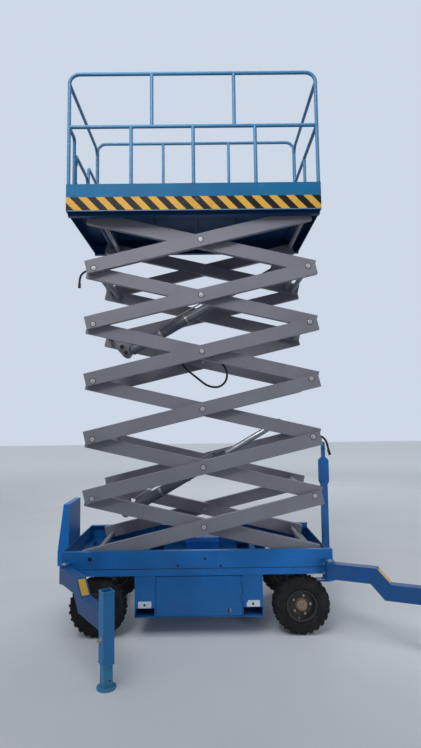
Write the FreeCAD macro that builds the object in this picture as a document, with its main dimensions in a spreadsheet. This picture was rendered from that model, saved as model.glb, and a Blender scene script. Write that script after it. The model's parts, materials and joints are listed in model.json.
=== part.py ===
"""Mobile scissor lift with six arm levels, a railed platform and four outriggers.

Millimetres. X runs along the machine towards the drawbar, Y across it and Z up.
The origin is on the ground in the middle of the chassis.
"""
import FreeCAD, Part
import os
import re

import Sketcher
from FreeCAD import Placement, Rotation, Vector

doc = FreeCAD.newDocument("scissor_lift")
sheet = doc.addObject("Spreadsheet::Sheet", "sizes")

SIZES = {
    # chassis; a size that starts with = follows other sizes
    "base_length": 2134,
    "base_width": 1065,
    "base_top": 662,
    "rail_height": 138,
    "rail_depth": 46,
    "rail_web": 7,
    "rail_flange": 8,
    "front_web_drop": 46,
    "tube_side": 50,
    "boss_wall": 16,
    "mount_wall": 8,
    "mount_back": 45,
    "mount_margin": 12,
    "ear_wall": 11.5,
    # scissor arms
    "pivot_inset": 221,
    "pivot_back": "=base_length / 2 - pivot_inset",
    "arm_inset": 274,
    "arm_length": "=base_length - arm_inset",
    "level_rise": 474,
    "arm_depth": 110,
    "arm_width": 50,
    "arm_inside": 52.5,
    "arm_face": "=base_width / 2 - arm_inside",
    "arm_gap": 6,
    "arm_overhang": 61,
    "roller_overhang": 25,
    "pin_offset": 25,
    "shaft_radius": 22,
    "pin_fit": 0.05,
    "tie_radius": 25,
    "tie_inset": 71,
    "stub_reach": 3,
    "axle_end": 6,
    "roller_axle_radius": 18,
    "roller_play": 1,
    "roller_radius": 36,
    "roller_width": 28,
    "track_gap": 0.4,
    # lift cylinders
    "eye_inset": 245,
    "barrel_eye_drop": 112,
    "rod_eye_rise": 32,
    "barrel_radius": 45,
    "barrel_length": 1010,
    "rod_radius": 27,
    "rod_tail": 275.4,
    "rod_eye_radius": 30,
    "eye_width": 90,
    "eye_pin_radius": 16,
    "lug_wall": 12,
    "lug_gap": 5,
    "lug_margin": 22,
    "neck_length": 60,
    "neck_flat": 12,
    "neck_half": 30,
    "gland_reach": 18,
    "gland_step": 8,
    "bore_floor": 90,
    "stem_gap": 18,
    "rod_pin_play": 0.5,
    # platform
    "deck_inset": 22,
    "deck_outset": 85,
    "deck_length": "=base_length - deck_inset",
    "deck_width": "=base_width + deck_outset",
    "deck_height": 120,
    "deck_rise": 98,
    "floor_wall": 4,
    "fascia_wall": 4,
    "joist_height": 20,
    "joist_width": 40,
    "track_wall": 8,
    "track_depth": 44,
    "deck_ear_radius": 30,
    "toe_height": 113,
    "toe_lip": 34,
    # railing
    "rail_tube_radius": 15,
    "branch_radius": 14.5,
    "end_bend": 80,
    "mid_rise": 502,
    "top_rise": 969,
    "corner_radius": 84,
    "gate_near": 345,
    "gate_far": 105,
    "gate_rise": 372,
    "gate_bend": 40,
    "gate_post_gap": 40,
    "gate_ring_wall": 5,
    "gate_ring_height": 30,
    "gate_gap": 4,
    "gate_bridge": 12,
    # wheels and axles
    "tyre_radius": 228,
    "tyre_width": 130,
    "bead_radius": 112,
    "rim_lip_radius": 121,
    "wheel_inset": 2.5,
    "wheel_face": "=base_width / 2 - wheel_inset",
    "hub_radius": 46,
    "spindle_radius": 20,
    "rear_axle_inset": 277,
    "rear_axle_back": "=base_length / 2 - rear_axle_inset",
    "front_axle_inset": 251,
    "front_axle_ahead": "=base_length / 2 - front_axle_inset",
    "axle_side": 60,
    "kingpin_inset": 197.5,
    "kingpin_side": "=base_width / 2 - kingpin_inset",
    "kingpin_radius": 15,
    "steer_arm": 110,
    "steer_root": 24,
    "steer_eye": 18,
    "steer_ball": 8,
    "steer_ball_drop": 40,
    "spindle_inset": 14,
    "beam_back": 14,
    "hanger_wall": 12,
    "hanger_lap": 10,
    "hanger_taper": 0.75,
    "rear_hanger_out": 302,
    "rear_hanger_half": 55,
    "front_hanger_out": 252,
    "front_hanger_half": 50,
    "boss_ring": 16,
    "fork_wall": 12,
    "fork_reach": 48,
    "fork_half": 28,
    "fork_gap": 2,
    "tie_bar_radius": 9,
    "tie_bar_drop": 25,
    "tie_eye_half": 11,
    # drawbar
    "yoke_reach": 316,
    "drawbar_length": 1180,
    "drawbar_side": 56,
    "drawbar_hinge_height": 300,
    "towing_bore": 22,
    "towing_eye_radius": 38,
    "towing_eye_half": 11,
    "drawbar_pin_radius": 12,
    "tube_share": 0.7,
    "grip_share": 0.86,
    "grip_half": 44,
    "grip_depth": 40,
    "neck_side": 30,
    "neck_lap": 60,
    "yoke_wall": 14,
    "yoke_root": 60,
    "yoke_heel": 10,
    "yoke_boss": 40,
    "cheek_wall": 13,
    "cheek_half": 28,
    # equipment box
    "box_rear": 495,
    "box_ahead": 512,
    "box_bottom": 155,
    "box_inset": 9,
    "box_width": "=base_width - box_inset",
    "box_wall": 5,
    "pocket_width": 150,
    "pocket_height": 66,
    "door_rear": 330,
    "door_ahead": 352,
    "door_wall": 12,
    "door_gap": 4,
    "hinge_radius": 8,
    "hinge_pin": 4,
    "hinge_strap": 4,
    "hinge_height": 34,
    "hinge_play": 0.5,
    "hinge_pin_tail": 5,
    "hinge_pin_head": 3,
    "leaf_strap": 60,
    "box_strap": 40,
    # power unit and oil tank
    "tank_near": 330,
    "tank_far": 20,
    "tank_start": 40,
    "tank_length": 340,
    "tank_height": 210,
    "motor_radius": 70,
    "motor_side": 170,
    "motor_height": 100,
    "motor_end": 50,
    "motor_foot": 60,
    "oil_tank_rear": 120,
    "oil_tank_length": 300,
    "oil_tank_near": 105,
    "oil_tank_width": 230,
    "oil_tank_height": 138,
    "oil_tank_corner": 30,
    "rib_height": 5,
    "rib_width": 14,
    # outriggers
    "hinge_inset": 37,
    "hinge_ahead": "=base_length / 2 - hinge_inset",
    "hinge_outset": 52.5,
    "hinge_side": "=base_width / 2 + hinge_outset",
    "hinge_pin_radius": 15,
    "outrigger_reach": 815,
    "outrigger_width": 76,
    "outrigger_depth": 116,
    "outrigger_top": 573,
    "outrigger_drop": 107,
    "crank_low_run": 306,
    "crank_top_run": 353,
    "crank_slope": 0.93,
    "leg_side": 76,
    "leg_top": 603,
    "leg_bottom": 150,
    "leg_wall": 6,
    "shank_rise": 455,
    "foot_radius": 62,
    "foot_wall": 12,
    "rear_swing": 55.7,
    "front_swing": 24.5,
    "folded_swing": 162,
    # control cabinet
    "cabinet_depth": 93,
    "cabinet_near": 320,
    "cabinet_far": 60,
    "cabinet_top": 1000,
    "cabinet_bottom": 500,
    "cabinet_gap": 2,
    "cabinet_lean": 0.5,
    "cabinet_sill": 120,
    "cabinet_pad_inset": 60,
    "cabinet_pad_drop": 20,
}

for row, (alias, value) in enumerate(SIZES.items(), start=1):
    sheet.set(f"A{row}", alias)
    sheet.set(f"B{row}", str(value))
    sheet.setAlias(f"B{row}", alias)
doc.recompute()

WORD = re.compile(r"[a-z]+(?:_[a-z]+)+")
ALONG = {
    "x": Rotation(Vector(0, 1, 0), 90),
    "y": Rotation(Vector(1, 0, 0), -90),
    "z": Rotation(),
}
NODES = []


def formula(text):
    """Turn size names in a formula into references to the spreadsheet."""
    return WORD.sub(lambda match: "sizes." + match.group(0), str(text))


def bind(obj, prop, text):
    """Bind one property of an object to a formula."""
    obj.setExpression(prop, formula(text))


def move(obj, x=None, y=None, z=None):
    """Bind the place of an object to formulas."""
    for axis, text in (("x", x), ("y", y), ("z", z)):
        if text is not None:
            bind(obj, f"Placement.Base.{axis}", text)
    return obj


def turn(obj, angle, axis):
    """Turn an object about an axis by an angle formula."""
    obj.Placement = Placement(obj.Placement.Base, Rotation(Vector(*axis), 10))
    bind(obj, "Placement.Rotation.Angle", angle)
    return obj


def block(name, x, y, z):
    """A block between the low and high formulas of each axis."""
    obj = doc.addObject("Part::Box", name)
    for prop, (low, high) in zip(("Length", "Width", "Height"), (x, y, z)):
        bind(obj, prop, f"({high}) - ({low})")
    return move(obj, x[0], y[0], z[0])


def bar(name, radius, axis, low, high, x="0", y="0", z="0"):
    """A round bar along one axis between two formulas."""
    obj = doc.addObject("Part::Cylinder", name)
    obj.Placement = Placement(Vector(), ALONG[axis])
    bind(obj, "Radius", radius)
    bind(obj, "Height", f"({high}) - ({low})")
    place = {"x": x, "y": y, "z": z}
    place[axis] = low
    return move(obj, **place)


def fuse(name, parts):
    """Join parts that touch into one solid."""
    obj = doc.addObject("Part::MultiFuse", name)
    obj.Shapes = parts
    obj.Refine = True
    return obj


def cut(name, base, tools):
    """Cut tools out of a base."""
    tool = tools[0] if len(tools) == 1 else fuse(name + "_tools", tools)
    obj = doc.addObject("Part::Cut", name)
    obj.Base = base
    obj.Tool = tool
    obj.Refine = True
    return obj


def plate(name, plane, corners, thickness):
    """A flat outline on an origin plane, padded equally to both sides."""
    body = doc.addObject("PartDesign::Body", name)
    sketch = body.newObject("Sketcher::SketchObject", name + "_outline")
    support = [item for item in body.Origin.OriginFeatures if item.Role == plane][0]
    sketch.AttachmentSupport = [(support, "")]
    sketch.MapMode = "FlatFace"
    draw(sketch, corners)
    pad = body.newObject("PartDesign::Pad", name + "_pad")
    pad.Profile = sketch
    pad.Midplane = True
    bind(pad, "Length", thickness)
    return body


def mirrored(side, section):
    """The same outline on the right or the left side of the machine."""
    return [(f"{side} * ({across})", height) for across, height in section]


def channel(name, side, outer, depth, low, high, web, flange, length):
    """A channel that opens inwards, drawn as one section along the machine."""
    lip = f"{outer} - {depth}"
    inner = f"{outer} - {web}"
    sill = f"{low} + {flange}"
    cap = f"{high} - {flange}"
    section = [(outer, high), (outer, low), (lip, low), (lip, sill),
               (inner, sill), (inner, cap), (lip, cap), (lip, high)]
    return plate(name, "YZ_Plane", mirrored(side, section), length)


def draw(sketch, corners):
    """Draw a closed outline whose corners follow pairs of formulas."""
    values = [tuple(number(text) for text in corner) for corner in corners]
    count = len(values)
    for index in range(count):
        start = Vector(*values[index], 0)
        end = Vector(*values[(index + 1) % count], 0)
        sketch.addGeometry(Part.LineSegment(start, end), False)
    for index in range(count):
        following = (index + 1) % count
        sketch.addConstraint(Sketcher.Constraint("Coincident", index, 2, following, 1))
    for index, corner in enumerate(corners):
        for kind, text, value in zip(("DistanceX", "DistanceY"), corner, values[index]):
            key = sketch.addConstraint(Sketcher.Constraint(kind, -1, 1, index, 1, value))
            if WORD.search(str(text)):
                bind(sketch, f"Constraints[{key}]", text)


def number(text):
    """Work a formula out with the sizes in the table."""
    probe = doc.getObject("probe") or doc.addObject("Part::Vertex", "probe")
    bind(probe, "X", text)
    probe.recompute()
    return float(probe.X)


def revolve(name, corners):
    """A closed outline turned about the X axis of its own body."""
    body = doc.addObject("PartDesign::Body", name)
    sketch = body.newObject("Sketcher::SketchObject", name + "_profile")
    support = [item for item in body.Origin.OriginFeatures if item.Role == "XY_Plane"][0]
    sketch.AttachmentSupport = [(support, "")]
    sketch.MapMode = "FlatFace"
    draw(sketch, corners)
    turned = body.newObject("PartDesign::Revolution", name + "_turned")
    turned.Profile = sketch
    turned.ReferenceAxis = (sketch, ["H_Axis"])
    turned.Angle = 360
    return body


def node(obj, label):
    """Give a finished piece its name."""
    obj.Label = label
    NODES.append(obj)
    return obj


def span(side, near, far):
    """Low and high formulas of a stretch across the machine, on one side of its middle."""
    if side > 0:
        return near, far
    return f"-({far})", f"-({near})"


SIDES = {"right": -1, "left": 1}
ENDS = {"rear": -1, "front": 1}
LAST_LEVEL = 6
BARREL_LEVELS = (1, 4)
JOISTS = (-0.38, -0.19, 0, 0.19, 0.44)
BOX_HINGES = (0.45, 0.85)
TANK_RIBS = (-0.42, -0.21, 0, 0.21, 0.42)

# Half a tyre's outline: inset from its side face, and radius
TYRE_SECTION = (
    (18, "bead_radius"),
    (14, "bead_radius + 10"),
    (3, "bead_radius + 13"),
    (0, "0.74 * tyre_radius"),
    (6, "tyre_radius - 22"),
    (24, "tyre_radius - 4"),
)

# A rim's outline from its inner lip round the hub to its outer lip: place along the axle, and radius
RIM_SECTION = (
    ("-tyre_width / 2 + 6", "bead_radius + 9"),
    ("-tyre_width / 2 + 6", "bead_radius - 6"),
    ("14", "bead_radius - 14"),
    ("14", "hub_radius + 30"),
    ("20", "hub_radius"),
    ("-45", "hub_radius"),
    ("-45", "spindle_radius + pin_fit"),
    ("52", "spindle_radius + pin_fit"),
    ("52", "0"),
    ("66", "0"),
    ("64", "hub_radius * 0.6"),
    ("54", "hub_radius - 4"),
    ("26", "hub_radius"),
    ("26", "hub_radius + 28"),
    ("22", "bead_radius - 8"),
    ("tyre_width / 2 - 6", "bead_radius - 4"),
    ("tyre_width / 2 - 6", "bead_radius + 9"),
    ("tyre_width / 2 - 13", "bead_radius + 9"),
    ("tyre_width / 2 - 17", "bead_radius"),
    ("-tyre_width / 2 + 17", "bead_radius"),
    ("-tyre_width / 2 + 13", "bead_radius + 9"),
)

# Places that many pieces share
PIN_HEIGHT = "(base_top - rail_height / 2)"
RUN = "sqrt(arm_length ^ 2 - level_rise ^ 2)"
HALF_SPAN = "sqrt(arm_length ^ 2 / 4 - pin_offset ^ 2)"
ARM_TILT = "(asin(level_rise / arm_length) - asin(2 * pin_offset / arm_length))"
ARM_CENTRE = f"({RUN} / 2 - pivot_back)"
TUBE_TOP = "(base_top - rail_height)"
TUBE_BOTTOM = "(base_top - rail_height - tube_side)"
RAIL_IN = "(base_width / 2 - rail_web)"
TOP_PIN = f"({PIN_HEIGHT} + 6 * level_rise)"
DECK_TOP = f"({TOP_PIN} + deck_rise)"
TOE_TOP = f"({DECK_TOP} + toe_height)"
AXLE_REACH = "arm_face + arm_gap + roller_width + axle_end"
BEAM = ("tyre_radius - axle_side / 2", "tyre_radius + axle_side / 2")


def base_frame():
    """Two channel rails on square tubes, with end rails and cross tubes."""
    parts = []
    whole = ("-base_length / 2", "base_length / 2")
    for name, side in SIDES.items():
        parts.append(channel(f"rail_{name}", side, "base_width / 2", "rail_depth", TUBE_TOP, "base_top",
                             "rail_web", "rail_flange", "base_length"))
        tube = span(side, "base_width / 2 - tube_side", "base_width / 2")
        parts.append(block(f"tube_{name}", whole, tube, (TUBE_BOTTOM, TUBE_TOP)))
        boss_y = span(side, "arm_face + pin_fit", RAIL_IN)
        parts.append(bar(f"boss_{name}", "shaft_radius + boss_wall", "y", *boss_y,
                         x="-pivot_back", z=PIN_HEIGHT))
        bed = span(side, "base_width / 2 - rail_depth", RAIL_IN)
        bed_z = (f"{TUBE_TOP} + rail_flange", f"{PIN_HEIGHT} - roller_radius - track_gap")
        parts.append(block(f"bed_{name}", ("0", "base_length / 2 - rail_web"), bed, bed_z))
        for end, sign in ENDS.items():
            parts += outrigger_mount(name, side, end, sign)
    inner = ("-(base_width / 2 - tube_side)", "base_width / 2 - tube_side")
    full = (f"-{RAIL_IN}", RAIL_IN)
    for end, sign, web_top in (("rear", -1, "base_top"), ("front", 1, "base_top - front_web_drop")):
        web_x = span(sign, "base_length / 2 - rail_web", "base_length / 2")
        parts.append(block(f"end_{end}", web_x, full, (TUBE_BOTTOM, web_top)))
        foot_x = span(sign, "base_length / 2 - tube_side", "base_length / 2")
        parts.append(block(f"end_tube_{end}", foot_x, inner, (TUBE_BOTTOM, TUBE_TOP)))
    crossings = ("-rear_axle_back", "-box_rear + tube_side / 2",
                 "box_ahead - tube_side / 2", "front_axle_ahead")
    for index, place in enumerate(crossings, start=1):
        across = (f"{place} - tube_side / 2", f"{place} + tube_side / 2")
        parts.append(block(f"cross_tube_{index}", across, inner, (TUBE_BOTTOM, TUBE_TOP)))
    frame = fuse("frame_solid", parts)
    holes = [bar("pivot_bore", "shaft_radius + pin_fit", "y", "-base_width", "base_width",
                 x="-pivot_back", z=PIN_HEIGHT)]
    node(cut("base_frame_cut", frame, holes), "base_frame")


def outrigger_mount(name, side, end, sign):
    """The plate and two ears at one corner, with the upright pin between the ears."""
    key = f"{end}_{name}"
    plate_y = span(side, "base_width / 2", "base_width / 2 + mount_wall")
    low = "outrigger_top - outrigger_depth - mount_margin"
    high = "outrigger_top + mount_margin"
    wide = span(sign, "hinge_ahead - mount_back", "base_length / 2")
    parts = [block(f"mount_{key}", wide, plate_y, (low, high))]
    ear_y = span(side, "base_width / 2", "hinge_side")
    ear_x = span(sign, "hinge_ahead - outrigger_width / 2", "hinge_ahead + outrigger_width / 2 - 1")
    place = {"x": f"{sign} * hinge_ahead", "y": f"{side} * hinge_side"}
    for ear, z in (("low", (low, f"{low} + ear_wall")), ("high", (f"{high} - ear_wall", high))):
        parts.append(block(f"ear_{ear}_{key}", ear_x, ear_y, z))
        parts.append(bar(f"ear_end_{ear}_{key}", "outrigger_width / 2", "z", *z, **place))
    parts.append(bar(f"pin_{key}", "hinge_pin_radius", "z", low, high, **place))
    return parts


def arms(level, outer):
    """One welded pair of arms with its cross shafts or cross tubes and pins."""
    kind = "outer" if outer else "inner"
    name = f"{kind}_arms_{level}"
    face = "arm_face" if outer else "(arm_face - arm_width - arm_gap)"
    lean = 1 if outer else -1
    roller_end = level == LAST_LEVEL if outer else level == 1
    overhang = "roller_overhang" if roller_end else "arm_overhang"
    solids = []
    holes = []
    for side_name, side in SIDES.items():
        across = span(side, f"{face} - arm_width", face)
        along = (f"-({HALF_SPAN} + arm_overhang)", f"{HALF_SPAN} + {overhang}")
        solids.append(block(f"{name}_{side_name}", along, across, ("-arm_depth / 2", "arm_depth / 2")))
    ends = {"near": ("-", f"{-lean} * pin_offset"), "far": ("", f"{lean} * pin_offset")}
    if outer:
        for end, (sign, height) in ends.items():
            reach = "arm_face"
            if level == 1 and end == "near":
                reach = f"{RAIL_IN} - roller_play"
            if level == LAST_LEVEL and end == "far":
                reach = AXLE_REACH
            solids.append(bar(f"{name}_shaft_{end}", "shaft_radius", "y", f"-({reach})", reach,
                              x=f"{sign}{HALF_SPAN}", z=height))
        for side_name, side in SIDES.items():
            inward = span(side, f"{face} - 2 * arm_width - arm_gap - stub_reach", f"{face} - arm_width / 2")
            solids.append(bar(f"{name}_stub_{side_name}", "shaft_radius", "y", *inward))
    else:
        bore = ("shaft_radius + pin_fit", "y", "-arm_face", "arm_face")
        holes.append(bar(f"{name}_bore_mid", *bore))
        for end, (sign, height) in ends.items():
            solids.append(bar(f"{name}_tie_{end}", "tie_radius", "y", f"-{face} + arm_width / 2",
                              f"{face} - arm_width / 2", x=f"{sign}({HALF_SPAN} - tie_inset)"))
            if level == 1 and end == "far":
                solids.append(bar(f"{name}_axle", "roller_axle_radius", "y", f"-({AXLE_REACH})", AXLE_REACH,
                                  x=f"{sign}{HALF_SPAN}", z=height))
            else:
                holes.append(bar(f"{name}_bore_{end}", *bore, x=f"{sign}{HALF_SPAN}", z=height))
        if level in BARREL_LEVELS:
            solids += eye_lugs(name, -1, "-barrel_eye_drop", True)
        if level - 2 in BARREL_LEVELS:
            solids += eye_lugs(name, 1, "rod_eye_rise", False)
    solid = fuse(name + "_solid", solids)
    if holes:
        solid = cut(name + "_bored", solid, holes)
    turn(solid, ARM_TILT, (0, -lean, 0))
    move(solid, ARM_CENTRE, "0", f"{PIN_HEIGHT} + {level - 0.5} * level_rise")
    node(solid, name)


def eye_lugs(name, end, height, with_pin):
    """Two plates that run from a cross tube to a cylinder's eye."""
    tie_x = f"{end} * ({HALF_SPAN} - tie_inset)"
    eye_x = f"{end} * ({HALF_SPAN} - eye_inset)"
    near = "eye_width / 2 + lug_gap"
    outline = lug_outline(end, tie_x, eye_x, height)
    parts = []
    for side_name, side in SIDES.items():
        lug = plate(f"{name}_lug_{side_name}", "XZ_Plane", outline, "lug_wall")
        parts.append(move(lug, y=f"{side} * ({near} + lug_wall / 2)"))
        across = span(side, near, f"{near} + lug_wall")
        parts.append(bar(f"{name}_eye_{side_name}", "eye_pin_radius + lug_margin", "y", *across,
                         x=eye_x, z=height))
    if with_pin:
        reach = f"{near} + lug_wall"
        parts.append(bar(f"{name}_eye_pin", "eye_pin_radius", "y", f"-({reach})", reach, x=eye_x, z=height))
    return parts


def lug_outline(end, tie_x, eye_x, height):
    """A five-cornered web that widens from a cross tube to an eye."""
    back = f"{tie_x} + {end} * 0.8 * tie_radius"
    rise = f"{-end} * 0.9 * tie_radius"
    far = f"{eye_x} - {end} * 0.6 * (eye_pin_radius + lug_margin)"
    near = f"{eye_x} + {end} * 0.6 * (eye_pin_radius + lug_margin)"
    low = f"{height} + {end} * 0.8 * (eye_pin_radius + lug_margin)"
    high = f"{height} - {end} * 0.8 * (eye_pin_radius + lug_margin)"
    return [(back, f"-({rise})"), (near, low), (far, high), (eye_x, rise), (back, rise)]


def axis_point(level, x, z):
    """World place of a point given in the frame of one inner pair of arms."""
    world_x = f"({ARM_CENTRE} + ({x}) * cos({ARM_TILT}) + ({z}) * sin({ARM_TILT}))"
    world_z = (f"({PIN_HEIGHT} + {level - 0.5} * level_rise"
               f" - ({x}) * sin({ARM_TILT}) + ({z}) * cos({ARM_TILT}))")
    return world_x, world_z


def lift_cylinder(which, level):
    """A barrel on one pair of inner arms and its rod, which ends at the pair two levels up."""
    low_x, low_z = axis_point(level, f"-({HALF_SPAN} - eye_inset)", "-barrel_eye_drop")
    high_x, high_z = axis_point(level + 2, f"{HALF_SPAN} - eye_inset", "rod_eye_rise")
    angle = f"atan(({high_z} - {low_z}) / ({high_x} - {low_x}))"
    length = f"sqrt(({high_z} - {low_z}) ^ 2 + ({high_x} - {low_x}) ^ 2)"
    eye = bar(f"barrel_{which}_eye", "barrel_radius - neck_flat / 2", "y", "-eye_width / 2", "eye_width / 2")
    neck = block(f"barrel_{which}_neck", ("0", "neck_length"),
                 ("-barrel_radius + neck_flat", "barrel_radius - neck_flat"), ("-neck_half", "neck_half"))
    tube = bar(f"barrel_{which}_tube", "barrel_radius", "x", "neck_length - 5", "barrel_length")
    gland = bar(f"barrel_{which}_gland", "barrel_radius - gland_step", "x", "barrel_length - 1",
                "barrel_length + gland_reach")
    solid = fuse(f"barrel_{which}_solid", [eye, neck, tube, gland])
    holes = [bar(f"barrel_{which}_pin_hole", "eye_pin_radius + pin_fit", "y", "-eye_width", "eye_width"),
             bar(f"barrel_{which}_bore", "rod_radius + pin_fit", "x", "bore_floor",
                 "barrel_length + 2 * gland_reach")]
    barrel = cut(f"barrel_{which}_bored", solid, holes)
    turn(barrel, angle, (0, -1, 0))
    move(barrel, low_x, "0", low_z)
    node(barrel, f"lift_barrel_{which}")
    stem = bar(f"rod_{which}_stem", "rod_radius", "x", f"-({length} - rod_tail)", "-stem_gap")
    head = bar(f"rod_{which}_head", "rod_eye_radius", "y", "-eye_width / 2", "eye_width / 2")
    pin_end = "eye_width / 2 + lug_gap - rod_pin_play"
    pin = bar(f"rod_{which}_pin", "eye_pin_radius", "y", f"-({pin_end})", pin_end)
    rod = fuse(f"rod_{which}_solid", [stem, head, pin])
    turn(rod, angle, (0, -1, 0))
    move(rod, f"{low_x} + {length} * cos({angle})", "0", f"{low_z} + {length} * sin({angle})")
    node(rod, f"lift_rod_{which}")


def roller(name, side, x, z, bore):
    """One track roller on the end of a cross shaft."""
    near = "arm_face + arm_gap + roller_play"
    across = span(side, near, f"{near} + roller_width")
    wheel = bar(f"{name}_wheel", "roller_radius", "y", *across, x=x, z=z)
    hole = bar(f"{name}_bore", bore, "y", "-base_width", "base_width", x=x, z=z)
    node(cut(f"{name}_cut", wheel, [hole]), name)


def deck_frame():
    """The platform floor folded down at its edges, with joists, roller tracks and fixed pivot ears."""
    bottom = f"{DECK_TOP} - deck_height"
    under = f"{DECK_TOP} - floor_wall"
    edge = "deck_width / 2"
    inside = "deck_width / 2 - fascia_wall"
    section = [(f"-{edge}", bottom), (f"-{edge}", DECK_TOP), (edge, DECK_TOP), (edge, bottom),
               (inside, bottom), (inside, under), (f"-({inside})", under), (f"-({inside})", bottom)]
    parts = [plate("deck_section", "YZ_Plane", section, "deck_length")]
    for name, sign in ENDS.items():
        along = span(sign, "deck_length / 2 - fascia_wall", "deck_length / 2")
        parts.append(block(f"fascia_{name}", along, (f"-{edge}", edge), (bottom, DECK_TOP)))
    track_low = f"{TOP_PIN} - roller_radius - track_gap - track_wall"
    track_top = f"{TOP_PIN} + roller_radius + track_gap + track_wall"
    track_out = "arm_face + arm_gap + track_depth"
    track_x = ("-deck_length / 2 + fascia_wall", "deck_length / 2 - fascia_wall")
    for name, side in SIDES.items():
        parts.append(channel(f"track_{name}", side, track_out, "track_depth", track_low, track_top,
                             "track_wall", "track_wall", "deck_length - 2 * fascia_wall"))
        web = span(side, f"{track_out} - track_wall", track_out)
        parts.append(block(f"track_rib_{name}", track_x, web, (track_top, under)))
        ear = span(side, "arm_face - arm_width", "arm_face + arm_gap")
        ear_x = ("-pivot_back - deck_ear_radius", "-pivot_back + deck_ear_radius")
        parts.append(block(f"ear_{name}", ear_x, ear, (TOP_PIN, under)))
        parts.append(bar(f"ear_round_{name}", "deck_ear_radius", "y", *ear, x="-pivot_back", z=TOP_PIN))
    for index, share in enumerate(JOISTS, start=1):
        along = (f"{share} * deck_length - joist_width / 2", f"{share} * deck_length + joist_width / 2")
        parts.append(block(f"joist_{index}", along, (f"-{edge}", edge), (f"{under} - joist_height", under)))
    parts.append(bar("top_shaft", "shaft_radius", "y", "-arm_face", "arm_face", x="-pivot_back", z=TOP_PIN))
    node(fuse("deck_solid", parts), "deck_frame")


def toe_boards():
    """Upright sheets round the floor, each folded inwards along its top."""
    parts = []
    runs = (("YZ_Plane", SIDES, "deck_width / 2", "deck_length"),
            ("XZ_Plane", ENDS, "deck_length / 2", "deck_width"))
    lip = f"{TOE_TOP} - floor_wall"
    for plane, names, edge, length in runs:
        section = [(edge, DECK_TOP), (edge, TOE_TOP),
                   (f"{edge} - toe_lip", TOE_TOP), (f"{edge} - toe_lip", lip),
                   (f"{edge} - fascia_wall", lip), (f"{edge} - fascia_wall", DECK_TOP)]
        for name, sign in names.items():
            parts.append(plate(f"toe_{name}", plane, mirrored(sign, section), length))
    node(fuse("toe_solid", parts), "toe_boards")


POST_X = "(deck_length / 2 - rail_tube_radius - 1)"
POST_Y = "(deck_width / 2 - rail_tube_radius - 1)"
MID_Z = f"({TOE_TOP} + mid_rise)"
TOP_Z = f"({TOE_TOP} + top_rise)"


GATE_LOW = f"({TOE_TOP} + rail_tube_radius + gate_gap)"
GATE_HIGH = f"({TOE_TOP} + gate_rise)"
GATE_RINGS = (f"({GATE_LOW} + 2 * gate_bend)", f"({GATE_HIGH} - 2 * gate_bend)")


def bend(name, plane, x, y, z, start, radius="corner_radius", tube="rail_tube_radius"):
    """A quarter of a ring that turns a rail down into a post."""
    ring = doc.addObject("Part::Torus", name)
    bind(ring, "Radius1", radius)
    bind(ring, "Radius2", tube)
    ring.Angle3 = 90
    upright = Rotation(Vector(1, 0, 0), 90)
    if plane == "yz":
        upright = Rotation(Vector(0, 0, 1), 90) * upright
    ring.Placement = Placement(Vector(), upright * Rotation(Vector(0, 0, 1), start))
    return move(ring, x, y, z)


def long_railing(name, side):
    """One long side: two end posts under a bent top rail, a middle rail and short posts."""
    y = f"{side} * {POST_Y}"
    turn_x = f"({POST_X} - corner_radius)"
    turn_z = f"({TOP_Z} - corner_radius)"
    tube = "rail_tube_radius"
    parts = []
    for end, sign, start in (("rear", -1, 90), ("front", 1, 0)):
        x = f"{sign} * {POST_X}"
        parts.append(bar(f"{name}_post_{end}", tube, "z", TOE_TOP, turn_z, x=x, y=y))
        parts.append(bend(f"{name}_bend_{end}", "xz", f"{sign} * {turn_x}", y, turn_z, start))
    parts.append(bar(f"{name}_top", tube, "x", f"-{turn_x}", turn_x, y=y, z=TOP_Z))
    parts.append(bar(f"{name}_mid", tube, "x", f"-{POST_X}", POST_X, y=y, z=MID_Z))
    for index, share in enumerate((-1 / 2, 0, 1 / 2), start=1):
        parts.append(bar(f"{name}_low_{index}", tube, "z", TOE_TOP, MID_Z, x=f"{share} * {POST_X}", y=y))
    for index, share in enumerate((-1 / 3, 1 / 3), start=1):
        parts.append(bar(f"{name}_high_{index}", tube, "z", MID_Z, TOP_Z, x=f"{share} * {POST_X}", y=y))
    node(fuse(f"{name}_solid", parts), name)


def end_rail(name, x, height):
    """A rail that leaves the right corner post and bends down into a post beside the left one."""
    tube = "branch_radius"
    far = f"({POST_Y} - 2 * rail_tube_radius - 3)"
    return [
        bar(f"{name}_rail", tube, "y", f"-{POST_Y} + rail_tube_radius", f"{far} - end_bend", x=x, z=height),
        bend(f"{name}_bend", "yz", x, f"{far} - end_bend", f"{height} - end_bend", 0, "end_bend", tube),
        bar(f"{name}_down", tube, "z", TOE_TOP, f"{height} - end_bend", x=x, y=far),
    ]


def end_railing_front():
    """The closed end: a bent top rail, a middle rail and one short post under it."""
    clear = f"({POST_Y} - rail_tube_radius)"
    middle = bar("front_mid", "rail_tube_radius", "y", f"-{clear}", clear, x=POST_X, z=MID_Z)
    post = bar("front_post", "branch_radius", "z", TOE_TOP, MID_Z, x=POST_X, y="0")
    parts = end_rail("front_top", POST_X, f"{TOP_Z} - corner_radius") + [middle, post]
    node(fuse("railing_front_solid", parts), "railing_front")


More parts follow.
